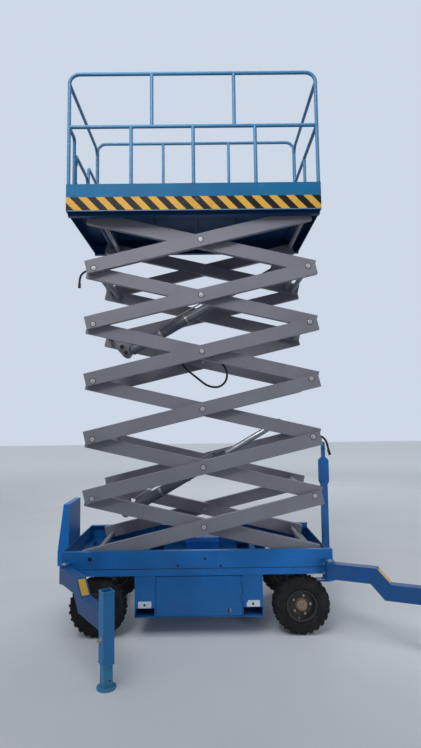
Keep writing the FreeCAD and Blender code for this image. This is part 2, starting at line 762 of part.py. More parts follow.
def end_railing_rear():
    """The entry end: a bent top rail and, beyond the gate, a short middle rail bent into a post."""
    tube = "branch_radius"
    x = f"-{POST_X}"
    far = "(gate_far + gate_post_gap)"
    mid_turn = f"{MID_Z} - gate_bend"
    parts = end_rail("rear_top", x, f"{TOP_Z} - corner_radius")
    parts.append(bar("rear_far_mid", tube, "y", f"{far} + gate_bend", f"{POST_Y} - rail_tube_radius",
                     x=x, z=MID_Z))
    parts.append(bend("rear_far_bend", "yz", x, f"{far} + gate_bend", mid_turn, 90, "gate_bend", tube))
    parts.append(bar("rear_far_post", tube, "z", TOE_TOP, mid_turn, x=x, y=far))
    node(fuse("railing_rear_solid", parts), "railing_rear")


def entry_railing():
    """The short rail and post on the near side of the entry, with the two rings the gate turns in."""
    tube = "branch_radius"
    x = f"-{POST_X}"
    near = "(gate_near + gate_post_gap)"
    mid_turn = f"{MID_Z} - gate_bend"
    parts = [
        bar("near_mid", tube, "y", f"-{POST_Y} + rail_tube_radius", f"-{near} - gate_bend", x=x, z=MID_Z),
        bend("near_bend", "yz", x, f"-{near} - gate_bend", mid_turn, 0, "gate_bend", tube),
        bar("near_post", tube, "z", TOE_TOP, mid_turn, x=x, y=f"-{near}"),
    ]
    place = {"x": x, "y": "-gate_near"}
    for index, height in enumerate(GATE_RINGS, start=1):
        level = (f"{height} - gate_ring_height / 2", f"{height} + gate_ring_height / 2")
        ring = bar(f"gate_ring_{index}", "rail_tube_radius + gate_ring_wall", "z", *level, **place)
        bridge = block(f"gate_bridge_{index}", (f"{x} - gate_bridge / 2", f"{x} + gate_bridge / 2"),
                       (f"-{near}", "-gate_near"), level)
        hole = bar(f"gate_ring_hole_{index}", "rail_tube_radius + pin_fit", "z", DECK_TOP, TOP_Z, **place)
        solid = fuse(f"gate_ring_solid_{index}", [ring, bridge])
        parts.append(cut(f"gate_ring_bored_{index}", solid, [hole]))
    node(fuse("railing_entry_solid", parts), "railing_entry")


def entry_gate():
    """A low gate frame with rounded corners that swings on the near post of the entry."""
    x = f"-{POST_X}"
    low = GATE_LOW
    high = GATE_HIGH
    tube = "rail_tube_radius"
    parts = []
    upright = (f"{low} + gate_bend", f"{high} - gate_bend")
    level = ("-gate_near + gate_bend", "gate_far - gate_bend")
    for key, y in (("near", "-gate_near"), ("far", "gate_far")):
        parts.append(bar(f"gate_post_{key}", tube, "z", *upright, x=x, y=y))
    for key, z in (("low", low), ("high", high)):
        parts.append(bar(f"gate_rail_{key}", tube, "y", *level, x=x, z=z))
    corners = (("far_high", "gate_far - gate_bend", f"{high} - gate_bend", 0),
               ("near_high", "-gate_near + gate_bend", f"{high} - gate_bend", 90),
               ("near_low", "-gate_near + gate_bend", f"{low} + gate_bend", 180),
               ("far_low", "gate_far - gate_bend", f"{low} + gate_bend", 270))
    for key, y, z, start in corners:
        parts.append(bend(f"gate_bend_{key}", "yz", x, y, z, start, "gate_bend"))
    node(fuse("gate_solid", parts), "entry_gate")


def wheel(name, x, side):
    """A tyre and its rim with the hub cap outwards."""
    half = "tyre_width / 2"
    left = [(f"-{half} + {inset}", radius) for inset, radius in TYRE_SECTION]
    right = [(f"{half} - {inset}", radius) for inset, radius in reversed(TYRE_SECTION)]
    tyre = revolve(f"tyre_{name}_body", left + [("0", "tyre_radius")] + right)
    rim = revolve(f"rim_{name}_body", RIM_SECTION)
    for piece, label in ((tyre, f"tyre_{name}"), (rim, f"rim_{name}")):
        piece.Placement = Placement(Vector(), Rotation(Vector(0, 0, 1), 90 * side))
        move(piece, x, f"{side} * (wheel_face - tyre_width / 2)", "tyre_radius")
        node(piece, label)


def hangers(name, x, out, half):
    """Two plates that narrow from the chassis down to an axle beam."""
    low = "tyre_radius - hanger_lap"
    foot = f"hanger_taper * {half}"
    outline = [(f"-{half}", TUBE_BOTTOM), (half, TUBE_BOTTOM), (foot, low), (f"-{foot}", low)]
    plates = []
    for side_name, side in SIDES.items():
        hanger = plate(f"{name}_hanger_{side_name}", "XZ_Plane", outline, "hanger_wall")
        plates.append(move(hanger, x=x, y=f"{side} * ({out} - hanger_wall / 2)"))
    return plates


def rear_axle():
    """A square axle on two hanger plates, with a spindle at each end."""
    x = "-rear_axle_back"
    inner = "wheel_face - tyre_width - beam_back"
    end = "wheel_face - spindle_inset"
    beam = block("rear_beam", (f"{x} - axle_side / 2", f"{x} + axle_side / 2"), (f"-({inner})", inner), BEAM)
    spindle = bar("rear_spindle", "spindle_radius", "y", f"-({end})", end, x=x, z="tyre_radius")
    plates = hangers("rear", x, "rear_hanger_out", "rear_hanger_half")
    node(fuse("rear_axle_solid", [beam, spindle] + plates), "rear_axle")


def steering_axle():
    """The front beam on two hangers, with an upright boss for each kingpin and one for the yoke."""
    x = "front_axle_ahead"
    parts = [block("front_beam", (f"{x} - axle_side / 2", f"{x} + axle_side / 2"),
                   ("-kingpin_side", "kingpin_side"), BEAM)]
    for name, side in SIDES.items():
        parts.append(bar(f"kingpin_boss_{name}", "kingpin_radius + boss_ring", "z", *BEAM,
                         x=x, y=f"{side} * kingpin_side"))
    parts += hangers("front", x, "front_hanger_out", "front_hanger_half")
    places = {"right": "-kingpin_side", "left": "kingpin_side", "yoke": "0"}
    holes = [bar(f"kingpin_hole_{name}", "kingpin_radius + pin_fit", "z", "0", "base_top", x=x, y=y)
             for name, y in places.items()]
    node(cut("front_beam_bored", fuse("front_beam_solid", parts), holes), "steering_axle")


KNUCKLE_LOW = "(tyre_radius - axle_side / 2 - fork_gap)"
KNUCKLE_HIGH = "(tyre_radius + axle_side / 2 + fork_gap)"


def knuckle(name, side):
    """A fork round the end of the beam, its kingpin, the spindle and the tapered steering arm."""
    x = "front_axle_ahead"
    y = f"{side} * kingpin_side"
    low = f"{KNUCKLE_LOW} - fork_wall"
    high = f"{KNUCKLE_HIGH} + fork_wall"
    out = "kingpin_side + fork_reach"
    web = f"{out} - fork_wall"
    section = [("kingpin_side", low), (out, low), (out, high), ("kingpin_side", high),
               ("kingpin_side", KNUCKLE_HIGH), (web, KNUCKLE_HIGH),
               (web, KNUCKLE_LOW), ("kingpin_side", KNUCKLE_LOW)]
    fork = plate(f"fork_{name}", "YZ_Plane", mirrored(side, section), "2 * fork_half")
    parts = [move(fork, x=x)]
    for ear, z in (("low", (low, KNUCKLE_LOW)), ("high", (KNUCKLE_HIGH, high))):
        parts.append(bar(f"fork_eye_{ear}_{name}", "fork_half", "z", *z, x=x, y=y))
    parts.append(bar(f"kingpin_{name}", "kingpin_radius", "z", low, high, x=x, y=y))
    spindle = span(side, f"{out} - 1", "wheel_face - spindle_inset")
    parts.append(bar(f"spindle_{name}", "spindle_radius", "y", *spindle, x=x, z="tyre_radius"))
    outline = [("0", "-steer_root"), ("steer_arm", "-steer_eye"),
               ("steer_arm", "steer_eye"), ("0", "steer_root")]
    steer = plate(f"steer_arm_{name}", "XY_Plane", outline, "fork_wall")
    parts.append(move(steer, x, y, f"{KNUCKLE_LOW} - fork_wall / 2"))
    tip = {"x": f"{x} + steer_arm", "y": y}
    parts.append(bar(f"steer_end_{name}", "steer_eye", "z", low, KNUCKLE_LOW, **tip))
    ball = (f"{KNUCKLE_LOW} - steer_ball_drop", KNUCKLE_LOW)
    parts.append(bar(f"steer_ball_{name}", "steer_ball", "z", *ball, **tip))
    node(fuse(f"knuckle_{name}_solid", parts), f"knuckle_{name}")


def tie_rod():
    """The bar across the two steering arms, with an eye for each ball and one for the yoke."""
    x = "front_axle_ahead + steer_arm"
    middle = f"{KNUCKLE_LOW} - tie_bar_drop"
    z = (f"{middle} - tie_eye_half", f"{middle} + tie_eye_half")
    parts = [bar("tie_bar", "tie_bar_radius", "y", "-kingpin_side", "kingpin_side", x=x, z=middle)]
    holes = []
    for name, place in (("right", "-kingpin_side"), ("middle", "0"), ("left", "kingpin_side")):
        parts.append(bar(f"tie_eye_{name}", "steer_eye", "z", *z, x=x, y=place))
        holes.append(bar(f"tie_hole_{name}", "steer_ball + pin_fit", "z", "0", "base_top", x=x, y=place))
    node(cut("tie_rod_bored", fuse("tie_rod_solid", parts), holes), "tie_rod")


def drawbar_yoke():
    """The V frame that turns on the beam and carries the drawbar's hinge."""
    x = "front_axle_ahead"
    tip = f"{x} + yoke_reach"
    half = "drawbar_side / 2"
    edge = f"({half} + yoke_wall)"
    z = (KNUCKLE_HIGH, f"{KNUCKLE_HIGH} + yoke_wall")
    shoulder = "yoke_reach - drawbar_side / 2 - cheek_half / 2"
    corners = [("-yoke_heel", "-yoke_root"), (shoulder, f"-{edge}"), ("yoke_reach + yoke_wall", f"-{edge}"),
               ("yoke_reach + yoke_wall", edge), (shoulder, edge), ("-yoke_heel", "yoke_root")]
    web = plate("yoke_plate", "XY_Plane", corners, "yoke_wall")
    move(web, x=x, z=f"{KNUCKLE_HIGH} + yoke_wall / 2")
    slot = block("yoke_slot", (f"{tip} - 45", f"{tip} + 60"), (f"-({half} + 1)", f"{half} + 1"),
                 (KNUCKLE_HIGH, "base_top"))
    pin = bar("yoke_pin", "kingpin_radius", "z", "tyre_radius - axle_side / 2 - 3 * fork_gap",
              f"{KNUCKLE_HIGH} + 2 * fork_wall", x=x, y="0")
    boss = bar("yoke_boss", "yoke_boss", "z", *z, x=x, y="0")
    finger = bar("yoke_finger", "steer_ball", "z", f"{KNUCKLE_LOW} - steer_ball_drop", f"{KNUCKLE_HIGH} + 1",
                 x=f"{x} + steer_arm", y="0")
    flat = cut("yoke_flat", fuse("yoke_flat_solid", [web, pin, boss, finger]), [slot])
    cheeks = []
    for name, side in SIDES.items():
        across = span(side, f"{half} + 1", f"{half} + 1 + cheek_wall")
        cheeks.append(block(f"yoke_cheek_{name}", (f"{tip} - cheek_half", f"{tip} + cheek_half"), across,
                            (KNUCKLE_HIGH, "drawbar_hinge_height")))
        cheeks.append(bar(f"yoke_ear_{name}", "cheek_half", "y", *across, x=tip, z="drawbar_hinge_height"))
    reach = f"{half} + 1 + cheek_wall"
    hinge = bar("drawbar_pin", "drawbar_pin_radius", "y", f"-({reach})", reach,
                x=tip, z="drawbar_hinge_height")
    node(fuse("yoke_solid", [flat] + cheeks + [hinge]), "drawbar_yoke")


def drawbar():
    """The towing bar, folded up on its hinge: square tube, tapered grip and towing eye."""
    x = "front_axle_ahead + yoke_reach"
    z = "drawbar_hinge_height"
    half = "drawbar_side / 2"
    flare = "tube_share * drawbar_length"
    taper = "grip_share * drawbar_length"
    neck = f"{taper} + neck_side"
    top = "drawbar_length - neck_lap"
    right = [(half, f"{flare} - neck_side"), ("grip_half", flare), ("grip_half", taper),
             ("neck_side / 2", neck), ("neck_side / 2", top)]
    left = [(f"-({across})", height) for across, height in reversed(right)]
    grip = plate("drawbar_grip", "XZ_Plane", right + left, "grip_depth")
    parts = [
        bar("drawbar_hub", half, "y", f"-{half}", half, x=x, z=z),
        block("drawbar_tube", (f"{x} - {half}", f"{x} + {half}"), (f"-{half}", half), (z, f"{z} + {flare}")),
        move(grip, x=x, z=z),
    ]
    eye_z = f"{z} + drawbar_length - towing_eye_radius"
    eye = (f"{x} - towing_eye_half", f"{x} + towing_eye_half")
    parts.append(bar("towing_eye", "towing_eye_radius", "x", *eye, z=eye_z))
    holes = [
        bar("towing_eye_hole", "towing_bore", "x", f"{x} - grip_half", f"{x} + grip_half", z=eye_z),
        bar("drawbar_hole", "drawbar_pin_radius + pin_fit", "y", "-drawbar_side", "drawbar_side", x=x, z=z),
    ]
    node(cut("drawbar_bored", fuse("drawbar_solid", parts), holes), "drawbar")


def equipment_box():
    """The sheet box under the chassis, open at the door, with a fork pocket through each end."""
    half = "box_width / 2"
    top = TUBE_BOTTOM
    inside = f"{half} - box_wall"
    through = (f"-{half} - box_wall", f"{half} + box_wall")
    shell = block("box_block", ("-box_rear", "box_ahead"), (f"-{half}", half), ("box_bottom", top))
    room = block("box_room", ("-door_rear", "door_ahead"), (f"-{half} - box_wall", inside),
                 ("box_bottom + box_wall", f"{top} - box_wall"))
    holes = [room]
    pocket_top = "box_bottom + box_wall + pocket_height"
    for name, low in (("rear", "-box_rear + box_wall"), ("front", "box_ahead - box_wall - pocket_width")):
        along = (low, f"{low} + pocket_width")
        holes.append(block(f"pocket_{name}", along, through, ("box_bottom + box_wall", pocket_top)))
        holes.append(block(f"cell_{name}", along, (f"-({inside})", inside),
                           (f"{pocket_top} + box_wall", f"{top} + box_wall")))
    shell = cut("box_shell", shell, holes)
    fixed = []
    moving = []
    hinge = {"x": "door_ahead", "y": f"-({half} + hinge_radius + 1)"}
    skin = (f"-{half} - hinge_strap", f"-{half}")
    for index, share in enumerate(BOX_HINGES, start=1):
        middle = f"(box_bottom + {share} * ({top} - box_bottom))"
        upper = (f"{middle} + hinge_play", f"{middle} + hinge_height")
        lower = (f"{middle} - hinge_height", middle)
        pin = (f"{middle} - hinge_pin_tail", f"{middle} + hinge_height + hinge_pin_head")
        moving.append(bar(f"leaf_knuckle_{index}", "hinge_radius", "z", *upper, **hinge))
        moving.append(block(f"leaf_strap_{index}", ("door_ahead - leaf_strap", "door_ahead"), skin, upper))
        fixed.append(bar(f"box_knuckle_{index}", "hinge_radius", "z", *lower, **hinge))
        fixed.append(block(f"box_strap_{index}", ("door_ahead", "door_ahead + box_strap"), skin, lower))
        fixed.append(bar(f"hinge_pin_{index}", "hinge_pin", "z", *pin, **hinge))
    node(fuse("box_solid", [shell] + fixed), "equipment_box")
    leaf = block("door_leaf", ("-door_rear + door_gap", "door_ahead - door_gap"),
                 (f"-{half}", f"-{half} + door_wall"),
                 ("box_bottom + box_wall + door_gap", f"{top} - box_wall - door_gap"))
    bore = bar("hinge_bore", "hinge_pin + pin_fit", "z", "0", "base_top", **hinge)
    node(cut("door_bored", fuse("door_solid", [leaf] + moving), [bore]), "box_door")


def power_unit():
    """The pump's tank with the motor beside it, on the floor of the box."""
    floor = "box_bottom + box_wall"
    start = "-door_rear + tank_start"
    end = f"{start} + tank_length"
    tank = block("tank", (start, end), ("-tank_near", "-tank_far"), (floor, f"{floor} + tank_height"))
    motor = bar("motor", "motor_radius", "x", f"{end} - box_wall", "door_ahead - motor_end",
                y="-motor_side", z=f"{floor} + motor_height")
    foot = block("motor_foot", (f"{end} + tank_far", "door_ahead - motor_end - tank_far"),
                 ("-motor_side - motor_end", "-motor_side + motor_end"), (floor, f"{floor} + motor_foot"))
    node(fuse("power_solid", [tank, motor, foot]), "power_unit")


def oil_tank():
    """The ribbed oil tank between the arms, on top of the box."""
    near = "oil_tank_near"
    far = "(oil_tank_near + oil_tank_width)"
    top = f"({TUBE_BOTTOM} + oil_tank_height)"
    corner = "oil_tank_corner"
    outline = [(near, TUBE_BOTTOM), (far, TUBE_BOTTOM),
               (far, f"{top} - {corner}"), (f"{far} - {corner}", top),
               (f"{near} + {corner}", top), (near, f"{top} - {corner}")]
    middle = "oil_tank_length / 2 - oil_tank_rear"
    shell = plate("oil_tank_shell", "YZ_Plane", outline, "oil_tank_length")
    parts = [move(shell, x=middle)]
    proud = [(f"{near} - rib_height", TUBE_BOTTOM), (f"{far} + rib_height", TUBE_BOTTOM),
             (f"{far} + rib_height", f"{top} - {corner}"), (f"{far} - {corner}", f"{top} + rib_height"),
             (f"{near} + {corner}", f"{top} + rib_height"), (f"{near} - rib_height", f"{top} - {corner}")]
    for index, share in enumerate(TANK_RIBS, start=1):
        rib = plate(f"oil_tank_rib_{index}", "YZ_Plane", proud, "rib_width")
        parts.append(move(rib, x=f"{middle} + {share} * oil_tank_length"))
    node(fuse("oil_tank_solid", parts), "oil_tank")


def outrigger(end, sign, name, side):
    """A cranked arm on a corner pin with its leg tube, and the foot that slides in it."""
    key = f"{end}_{name}"
    top = "outrigger_top"
    bottom = "outrigger_top - outrigger_depth"
    drop = "outrigger_drop"
    slope = f"crank_slope * {drop}"
    leg = "outrigger_reach - leg_side / 2"
    corners = [("0", top), ("0", bottom), ("crank_low_run", bottom),
               (f"crank_low_run + {slope}", f"{bottom} - {drop}"), (leg, f"{bottom} - {drop}"),
               (leg, f"{top} - {drop}"), (f"crank_top_run + {slope}", f"{top} - {drop}"),
               ("crank_top_run", top)]
    beam = plate(f"crank_{key}", "XZ_Plane", corners, "outrigger_width")
    hub = bar(f"crank_hub_{key}", "outrigger_width / 2", "z", bottom, top)
    across = ("-leg_side / 2", "leg_side / 2")
    post = block(f"leg_tube_{key}", (leg, f"{leg} + leg_side"), across, ("leg_bottom", "leg_top"))
    inner = "(leg_side / 2 - leg_wall)"
    holes = [
        block(f"leg_hollow_{key}", (f"outrigger_reach - {inner}", f"outrigger_reach + {inner}"),
              (f"-{inner}", inner), ("leg_bottom - leg_wall", "leg_top + leg_wall")),
        bar(f"crank_hole_{key}", "hinge_pin_radius + pin_fit", "z", "0", "base_top"),
    ]
    arm = cut(f"outrigger_{key}_cut", fuse(f"outrigger_{key}_solid", [beam, hub, post]), holes)
    slide = f"({inner} - 1)"
    shank = block(f"shank_{key}", (f"outrigger_reach - {slide}", f"outrigger_reach + {slide}"),
                  (f"-{slide}", slide), ("foot_wall - 1", "shank_rise"))
    foot = bar(f"foot_{key}", "foot_radius", "z", "0", "foot_wall", x="outrigger_reach")
    shoe = fuse(f"outrigger_leg_{key}_solid", [shank, foot])
    for piece, label in ((arm, f"outrigger_arm_{key}"), (shoe, f"outrigger_leg_{key}")):
        swing = "folded_swing" if (end, side) == ("front", 1) else f"{end}_swing"
        turn(piece, swing, (0, 0, side))
        move(piece, f"{sign} * hinge_ahead", f"{side} * hinge_side", "0")
        node(piece, label)


def control_cabinet():
    """A narrow cabinet with a leaning outer face on the rear end of the chassis."""
    near = "-base_length / 2 - cabinet_gap"
    far = f"{near} - cabinet_depth"
    corners = [(near, "cabinet_bottom"), (near, "cabinet_top"),
               (f"{near} - cabinet_lean * cabinet_depth", "cabinet_top"),
               (far, "cabinet_bottom + cabinet_sill"), (far, "cabinet_bottom")]
    shell = plate("cabinet_plate", "XZ_Plane", corners, "cabinet_near + cabinet_far")
    move(shell, y="(cabinet_far - cabinet_near) / 2")
    pad = block("cabinet_pad", (near, "-base_length / 2"),
                ("-cabinet_near + cabinet_pad_inset", "cabinet_far - cabinet_pad_inset"),
                (TUBE_BOTTOM, "base_top - cabinet_pad_drop"))
    node(fuse("cabinet_solid", [shell, pad]), "control_cabinet")


base_frame()
for level in range(1, LAST_LEVEL + 1):
    arms(level, True)
    arms(level, False)
for which, level in zip(("lower", "upper"), BARREL_LEVELS):
    lift_cylinder(which, level)
for side_name, side in SIDES.items():
    roller(f"base_roller_{side_name}", side, f"{RUN} - pivot_back", PIN_HEIGHT, "roller_axle_radius")
    roller(f"deck_roller_{side_name}", side, f"{RUN} - pivot_back", TOP_PIN, "shaft_radius")
deck_frame()
toe_boards()
for side_name, side in SIDES.items():
    long_railing(f"railing_{side_name}", side)
end_railing_front()
end_railing_rear()
entry_railing()
entry_gate()
for side_name, side in SIDES.items():
    wheel(f"rear_{side_name}", "-rear_axle_back", side)
    wheel(f"front_{side_name}", "front_axle_ahead", side)
    knuckle(side_name, side)
rear_axle()
steering_axle()
tie_rod()
drawbar_yoke()
drawbar()
equipment_box()
power_unit()
oil_tank()
for side_name, side in SIDES.items():
    for end, sign in ENDS.items():
        outrigger(end, sign, side_name, side)
control_cabinet()
doc.recompute()

faults = [item.Label for item in doc.Objects if "Invalid" in item.State or "Error" in item.State]
for piece in NODES:
    shape = piece.Shape
    if shape.isNull() or not shape.isValid() or len(shape.Solids) != 1:
        faults.append(f"{piece.Label} ({0 if shape.isNull() else len(shape.Solids)} solids)")
if faults:
    raise RuntimeError("faulty: " + ", ".join(faults))

os.makedirs("parts", exist_ok=True)
for piece in NODES:
    piece.Shape.exportStep(f"parts/{piece.Label}.step")
print(len(NODES), "pieces")
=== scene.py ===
"""Dresses the scissor lift: finishes, pin heads, tyres, hoses, labels, floor, lamps and camera.

Metres. X runs along the machine towards the drawbar, Y across it and Z up.
"""

import json
import logging
import math
from collections.abc import Callable, Iterable, Sequence
from dataclasses import dataclass, field
from enum import Enum

import bmesh
import bpy
from mathutils import Matrix, Vector

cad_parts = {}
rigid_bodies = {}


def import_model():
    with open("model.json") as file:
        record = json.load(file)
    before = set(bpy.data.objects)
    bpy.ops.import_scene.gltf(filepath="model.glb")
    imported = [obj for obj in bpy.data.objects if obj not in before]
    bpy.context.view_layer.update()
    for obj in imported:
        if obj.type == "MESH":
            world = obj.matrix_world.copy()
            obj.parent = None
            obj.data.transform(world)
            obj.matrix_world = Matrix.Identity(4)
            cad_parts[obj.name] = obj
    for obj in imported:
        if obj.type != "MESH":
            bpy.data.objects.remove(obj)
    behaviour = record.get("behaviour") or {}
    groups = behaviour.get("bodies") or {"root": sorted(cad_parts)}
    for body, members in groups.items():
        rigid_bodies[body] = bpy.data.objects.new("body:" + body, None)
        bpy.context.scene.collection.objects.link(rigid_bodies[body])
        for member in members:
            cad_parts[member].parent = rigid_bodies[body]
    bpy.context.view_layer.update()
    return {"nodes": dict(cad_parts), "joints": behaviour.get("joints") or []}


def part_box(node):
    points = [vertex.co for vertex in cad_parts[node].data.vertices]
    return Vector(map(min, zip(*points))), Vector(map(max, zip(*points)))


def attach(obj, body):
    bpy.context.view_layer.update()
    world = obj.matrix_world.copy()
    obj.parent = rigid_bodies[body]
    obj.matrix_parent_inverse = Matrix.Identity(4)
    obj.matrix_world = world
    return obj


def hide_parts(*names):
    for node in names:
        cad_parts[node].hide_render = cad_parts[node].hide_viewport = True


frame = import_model()

log = logging.getLogger("scissor_lift")
logging.basicConfig(level=logging.INFO, format="%(name)s: %(message)s")

Colour = tuple[float, float, float, float]
Triple = tuple[float, float, float]
Profile = Sequence[tuple[float, float]]
Mesh = bpy.types.Mesh
Object = bpy.types.Object
Material = bpy.types.Material
Node = bpy.types.Node
Socket = bpy.types.NodeSocket

UP = Vector((0, 0, 1))
ACROSS = Vector((0, 1, 0))
LEVELS = range(1, 7)
FULL_TURN = 2 * math.pi
SMOOTH_BELOW = math.radians(35)
MERGE = 1e-6
CORNER_STEPS = 4


class Side(Enum):
    """A long side of the machine, by the sign of its Y."""

    RIGHT = -1
    LEFT = 1

    def wall(self, x: float, y: float, z: float) -> Matrix:
        """Give the placing at y metres out on this side, with its Z outwards."""
        return facing((0, self.value, 0), (x, self.value * y, z))

    def spot(self, x: float, y: float, z: float) -> tuple[Triple, Triple]:
        """Give the point at y metres out on this side, and the way outwards from it."""
        return (x, self.value * y, z), (0, self.value, 0)


class End(Enum):
    """An end of the machine, by the sign of its X."""

    REAR = -1
    FRONT = 1


def srgb(red: int, green: int, blue: int) -> Colour:
    """Turn a screen colour, 0 to 255 each, into linear light.

    Args:
        red, green, blue: The screen values.

    Returns:
        The linear colour with full alpha.
    """
    shares = (part / 255 for part in (red, green, blue))
    return (*(share / 12.92 if share <= 0.04045 else ((share + 0.055) / 1.055) ** 2.4 for share in shares), 1.0)


def scaled(colour: Colour, factor: float) -> Colour:
    """Give a colour more or less light, with its alpha kept."""
    return (*(min(1.0, part * factor) for part in colour[:3]), 1.0)


# ---------------------------------------------------------------- node trees


def operator(operation: str, reflected: bool = False) -> Callable[["Value", "Value | float"], "Value"]:
    """Make an operator method that adds one Math node.

    Args:
        operation: The node's operation.
        reflected: Whether the other value comes first in it.

    Returns:
        The method.
    """
    def method(value: "Value", other: "Value | float") -> "Value":
        """Add the node over this value and the other."""
        return value.graph.math(operation, *((other, value) if reflected else (value, other)))
    return method


class Value:
    """A number socket of a node tree, on which operators add Math nodes."""

    __add__ = __radd__ = operator("ADD")
    __mul__ = __rmul__ = operator("MULTIPLY")
    __sub__, __rsub__ = operator("SUBTRACT"), operator("SUBTRACT", reflected=True)
    __truediv__, __rtruediv__ = operator("DIVIDE"), operator("DIVIDE", reflected=True)
    __gt__, __lt__ = operator("GREATER_THAN"), operator("LESS_THAN")

    def __init__(self, graph: "Graph", source: Socket | Node) -> None:
        """Keep the tree and the socket, or the node's first socket, that gives the number."""
        self.graph = graph
        self.socket = source.outputs[0] if isinstance(source, Node) else source

    def math(self, operation: str, *others: "Value | float") -> "Value":
        """Add one Math node whose first input is this value."""
        return self.graph.math(operation, self, *others)

    def smooth(self, low: float, high: float) -> "Value":
        """Rise softly from nought at low to one at high."""
        return Value(self.graph, self.graph.node("ShaderNodeMapRange", {"interpolation_type": "SMOOTHSTEP"},
                                                 {"Value": self, "From Min": low, "From Max": high}))


def distance(across: Value, along: Value) -> Value:
    """Give how far a place is from an axis, by its two offsets."""
    return (across * across + along * along).math("SQRT")


class Graph:
    """A tree of nodes in the making."""

    def __init__(self, tree: bpy.types.NodeTree) -> None:
        """Clear the tree."""
        self.tree = tree
        self.tree.nodes.clear()

    def node(self, kind: str, settings: dict | None = None, sockets: dict | None = None) -> Node:
        """Add one node.

        Args:
            kind: The node's type.
            settings: Its properties, set before its sockets.
            sockets: A value or link for each named or numbered input.

        Returns:
            The node.
        """
        made = self.tree.nodes.new(kind)
        for name, value in (settings or {}).items():
            setattr(made, name, value)
        for key, value in (sockets or {}).items():
            self.feed(made.inputs[key], value)
        return made

    def feed(self, socket: Socket, value: object) -> None:
        """Link a socket, or set its own value.

        Args:
            socket: The input.
            value: A Value, a node's first output, a socket or a plain value.
        """
        source = value.socket if isinstance(value, Value) else value
        source = source.outputs[0] if isinstance(source, Node) else source
        if isinstance(source, Socket):
            self.tree.links.new(source, socket)
        else:
            socket.default_value = source

    def math(self, operation: str, *values: Value | Socket | float) -> Value:
        """Add one Math node over some values."""
        return Value(self, self.node("ShaderNodeMath", {"operation": operation}, dict(enumerate(values))))

    def background_seen(self) -> Value:
        """Find the rays that show the background: from the camera, a reflection or a pane.

        Returns:
            One for such a ray, else nought.
        """
        path = self.node("ShaderNodeLightPath").outputs
        camera, glossy, through = (Value(self, path[f"Is {kind} Ray"]) for kind in ("Camera", "Glossy", "Transmission"))
        return camera.math("MAXIMUM", glossy).math("MAXIMUM", through)


class Surface(Graph):
    """The tree of a material that ends in one Principled shader."""

    def __init__(self, name: str) -> None:
        """Make the material, its shader and its output.

        Args:
            name: The material's name.
        """
        self.material = bpy.data.materials.new(name)
        self.material.use_nodes = True
        super().__init__(self.material.node_tree)
        self.shader = self.node("ShaderNodeBsdfPrincipled")
        self.node("ShaderNodeOutputMaterial", sockets={"Surface": self.shader})
        self.place = self.node("ShaderNodeTexCoord").outputs["Object"]

    def axes(self) -> list[Value]:
        """Give the place on the object as three values."""
        return [Value(self, socket) for socket in self.node("ShaderNodeSeparateXYZ", sockets={0: self.place}).outputs]

    def clouds(self, scale: float, detail: float, stretch: Triple = (1, 1, 1), shift: float = 0.0) -> Value:
        """Add noise over the object's own space.

        Args:
            scale: How fine it is, per metre.
            detail: How many finer layers it has.
            stretch: Its scale along each axis.
            shift: Where in the noise it starts.

        Returns:
            Noise of about nought to one.
        """
        moved = self.node("ShaderNodeMapping", sockets={
            "Vector": self.place, "Location": (shift,) * 3, "Scale": stretch})
        return Value(self, self.node("ShaderNodeTexNoise", sockets={
            "Vector": moved, "Scale": scale, "Detail": detail}))

    def mix(self, factor: Value, first: Colour | Socket, second: Colour | Socket) -> Socket:
        """Mix two colours: a factor of nought gives the first, one the second."""
        return self.node("ShaderNodeMix", {"data_type": "RGBA"}, {0: factor, 6: first, 7: second}).outputs[2]

    def bump(self, height: Value, distance: float, strength: float) -> None:
        """Let a height in metres bend the shader's normal."""
        self.feed(self.shader.inputs["Normal"], self.node("ShaderNodeBump", sockets={
            "Height": height, "Distance": distance, "Strength": strength}))

    def finish(self, colour: Socket, roughness: Value | float, metallic: Value | float = 0.0,
               coat: float = 0.0, specular: float = 0.5) -> Material:
        """Feed the shader and hand over the material.

        Args:
            colour: The base colour.
            roughness, metallic: Values or numbers.
            coat: The weight of a clear coat.
            specular: The strength of the reflection at a straight look.

        Returns:
            The finished material.
        """
        for name, value in (("Base Color", colour), ("Roughness", roughness), ("Metallic", metallic),
                            ("Coat Weight", coat), ("Specular IOR Level", specular)):
            self.feed(self.shader.inputs[name], value)
        return self.material


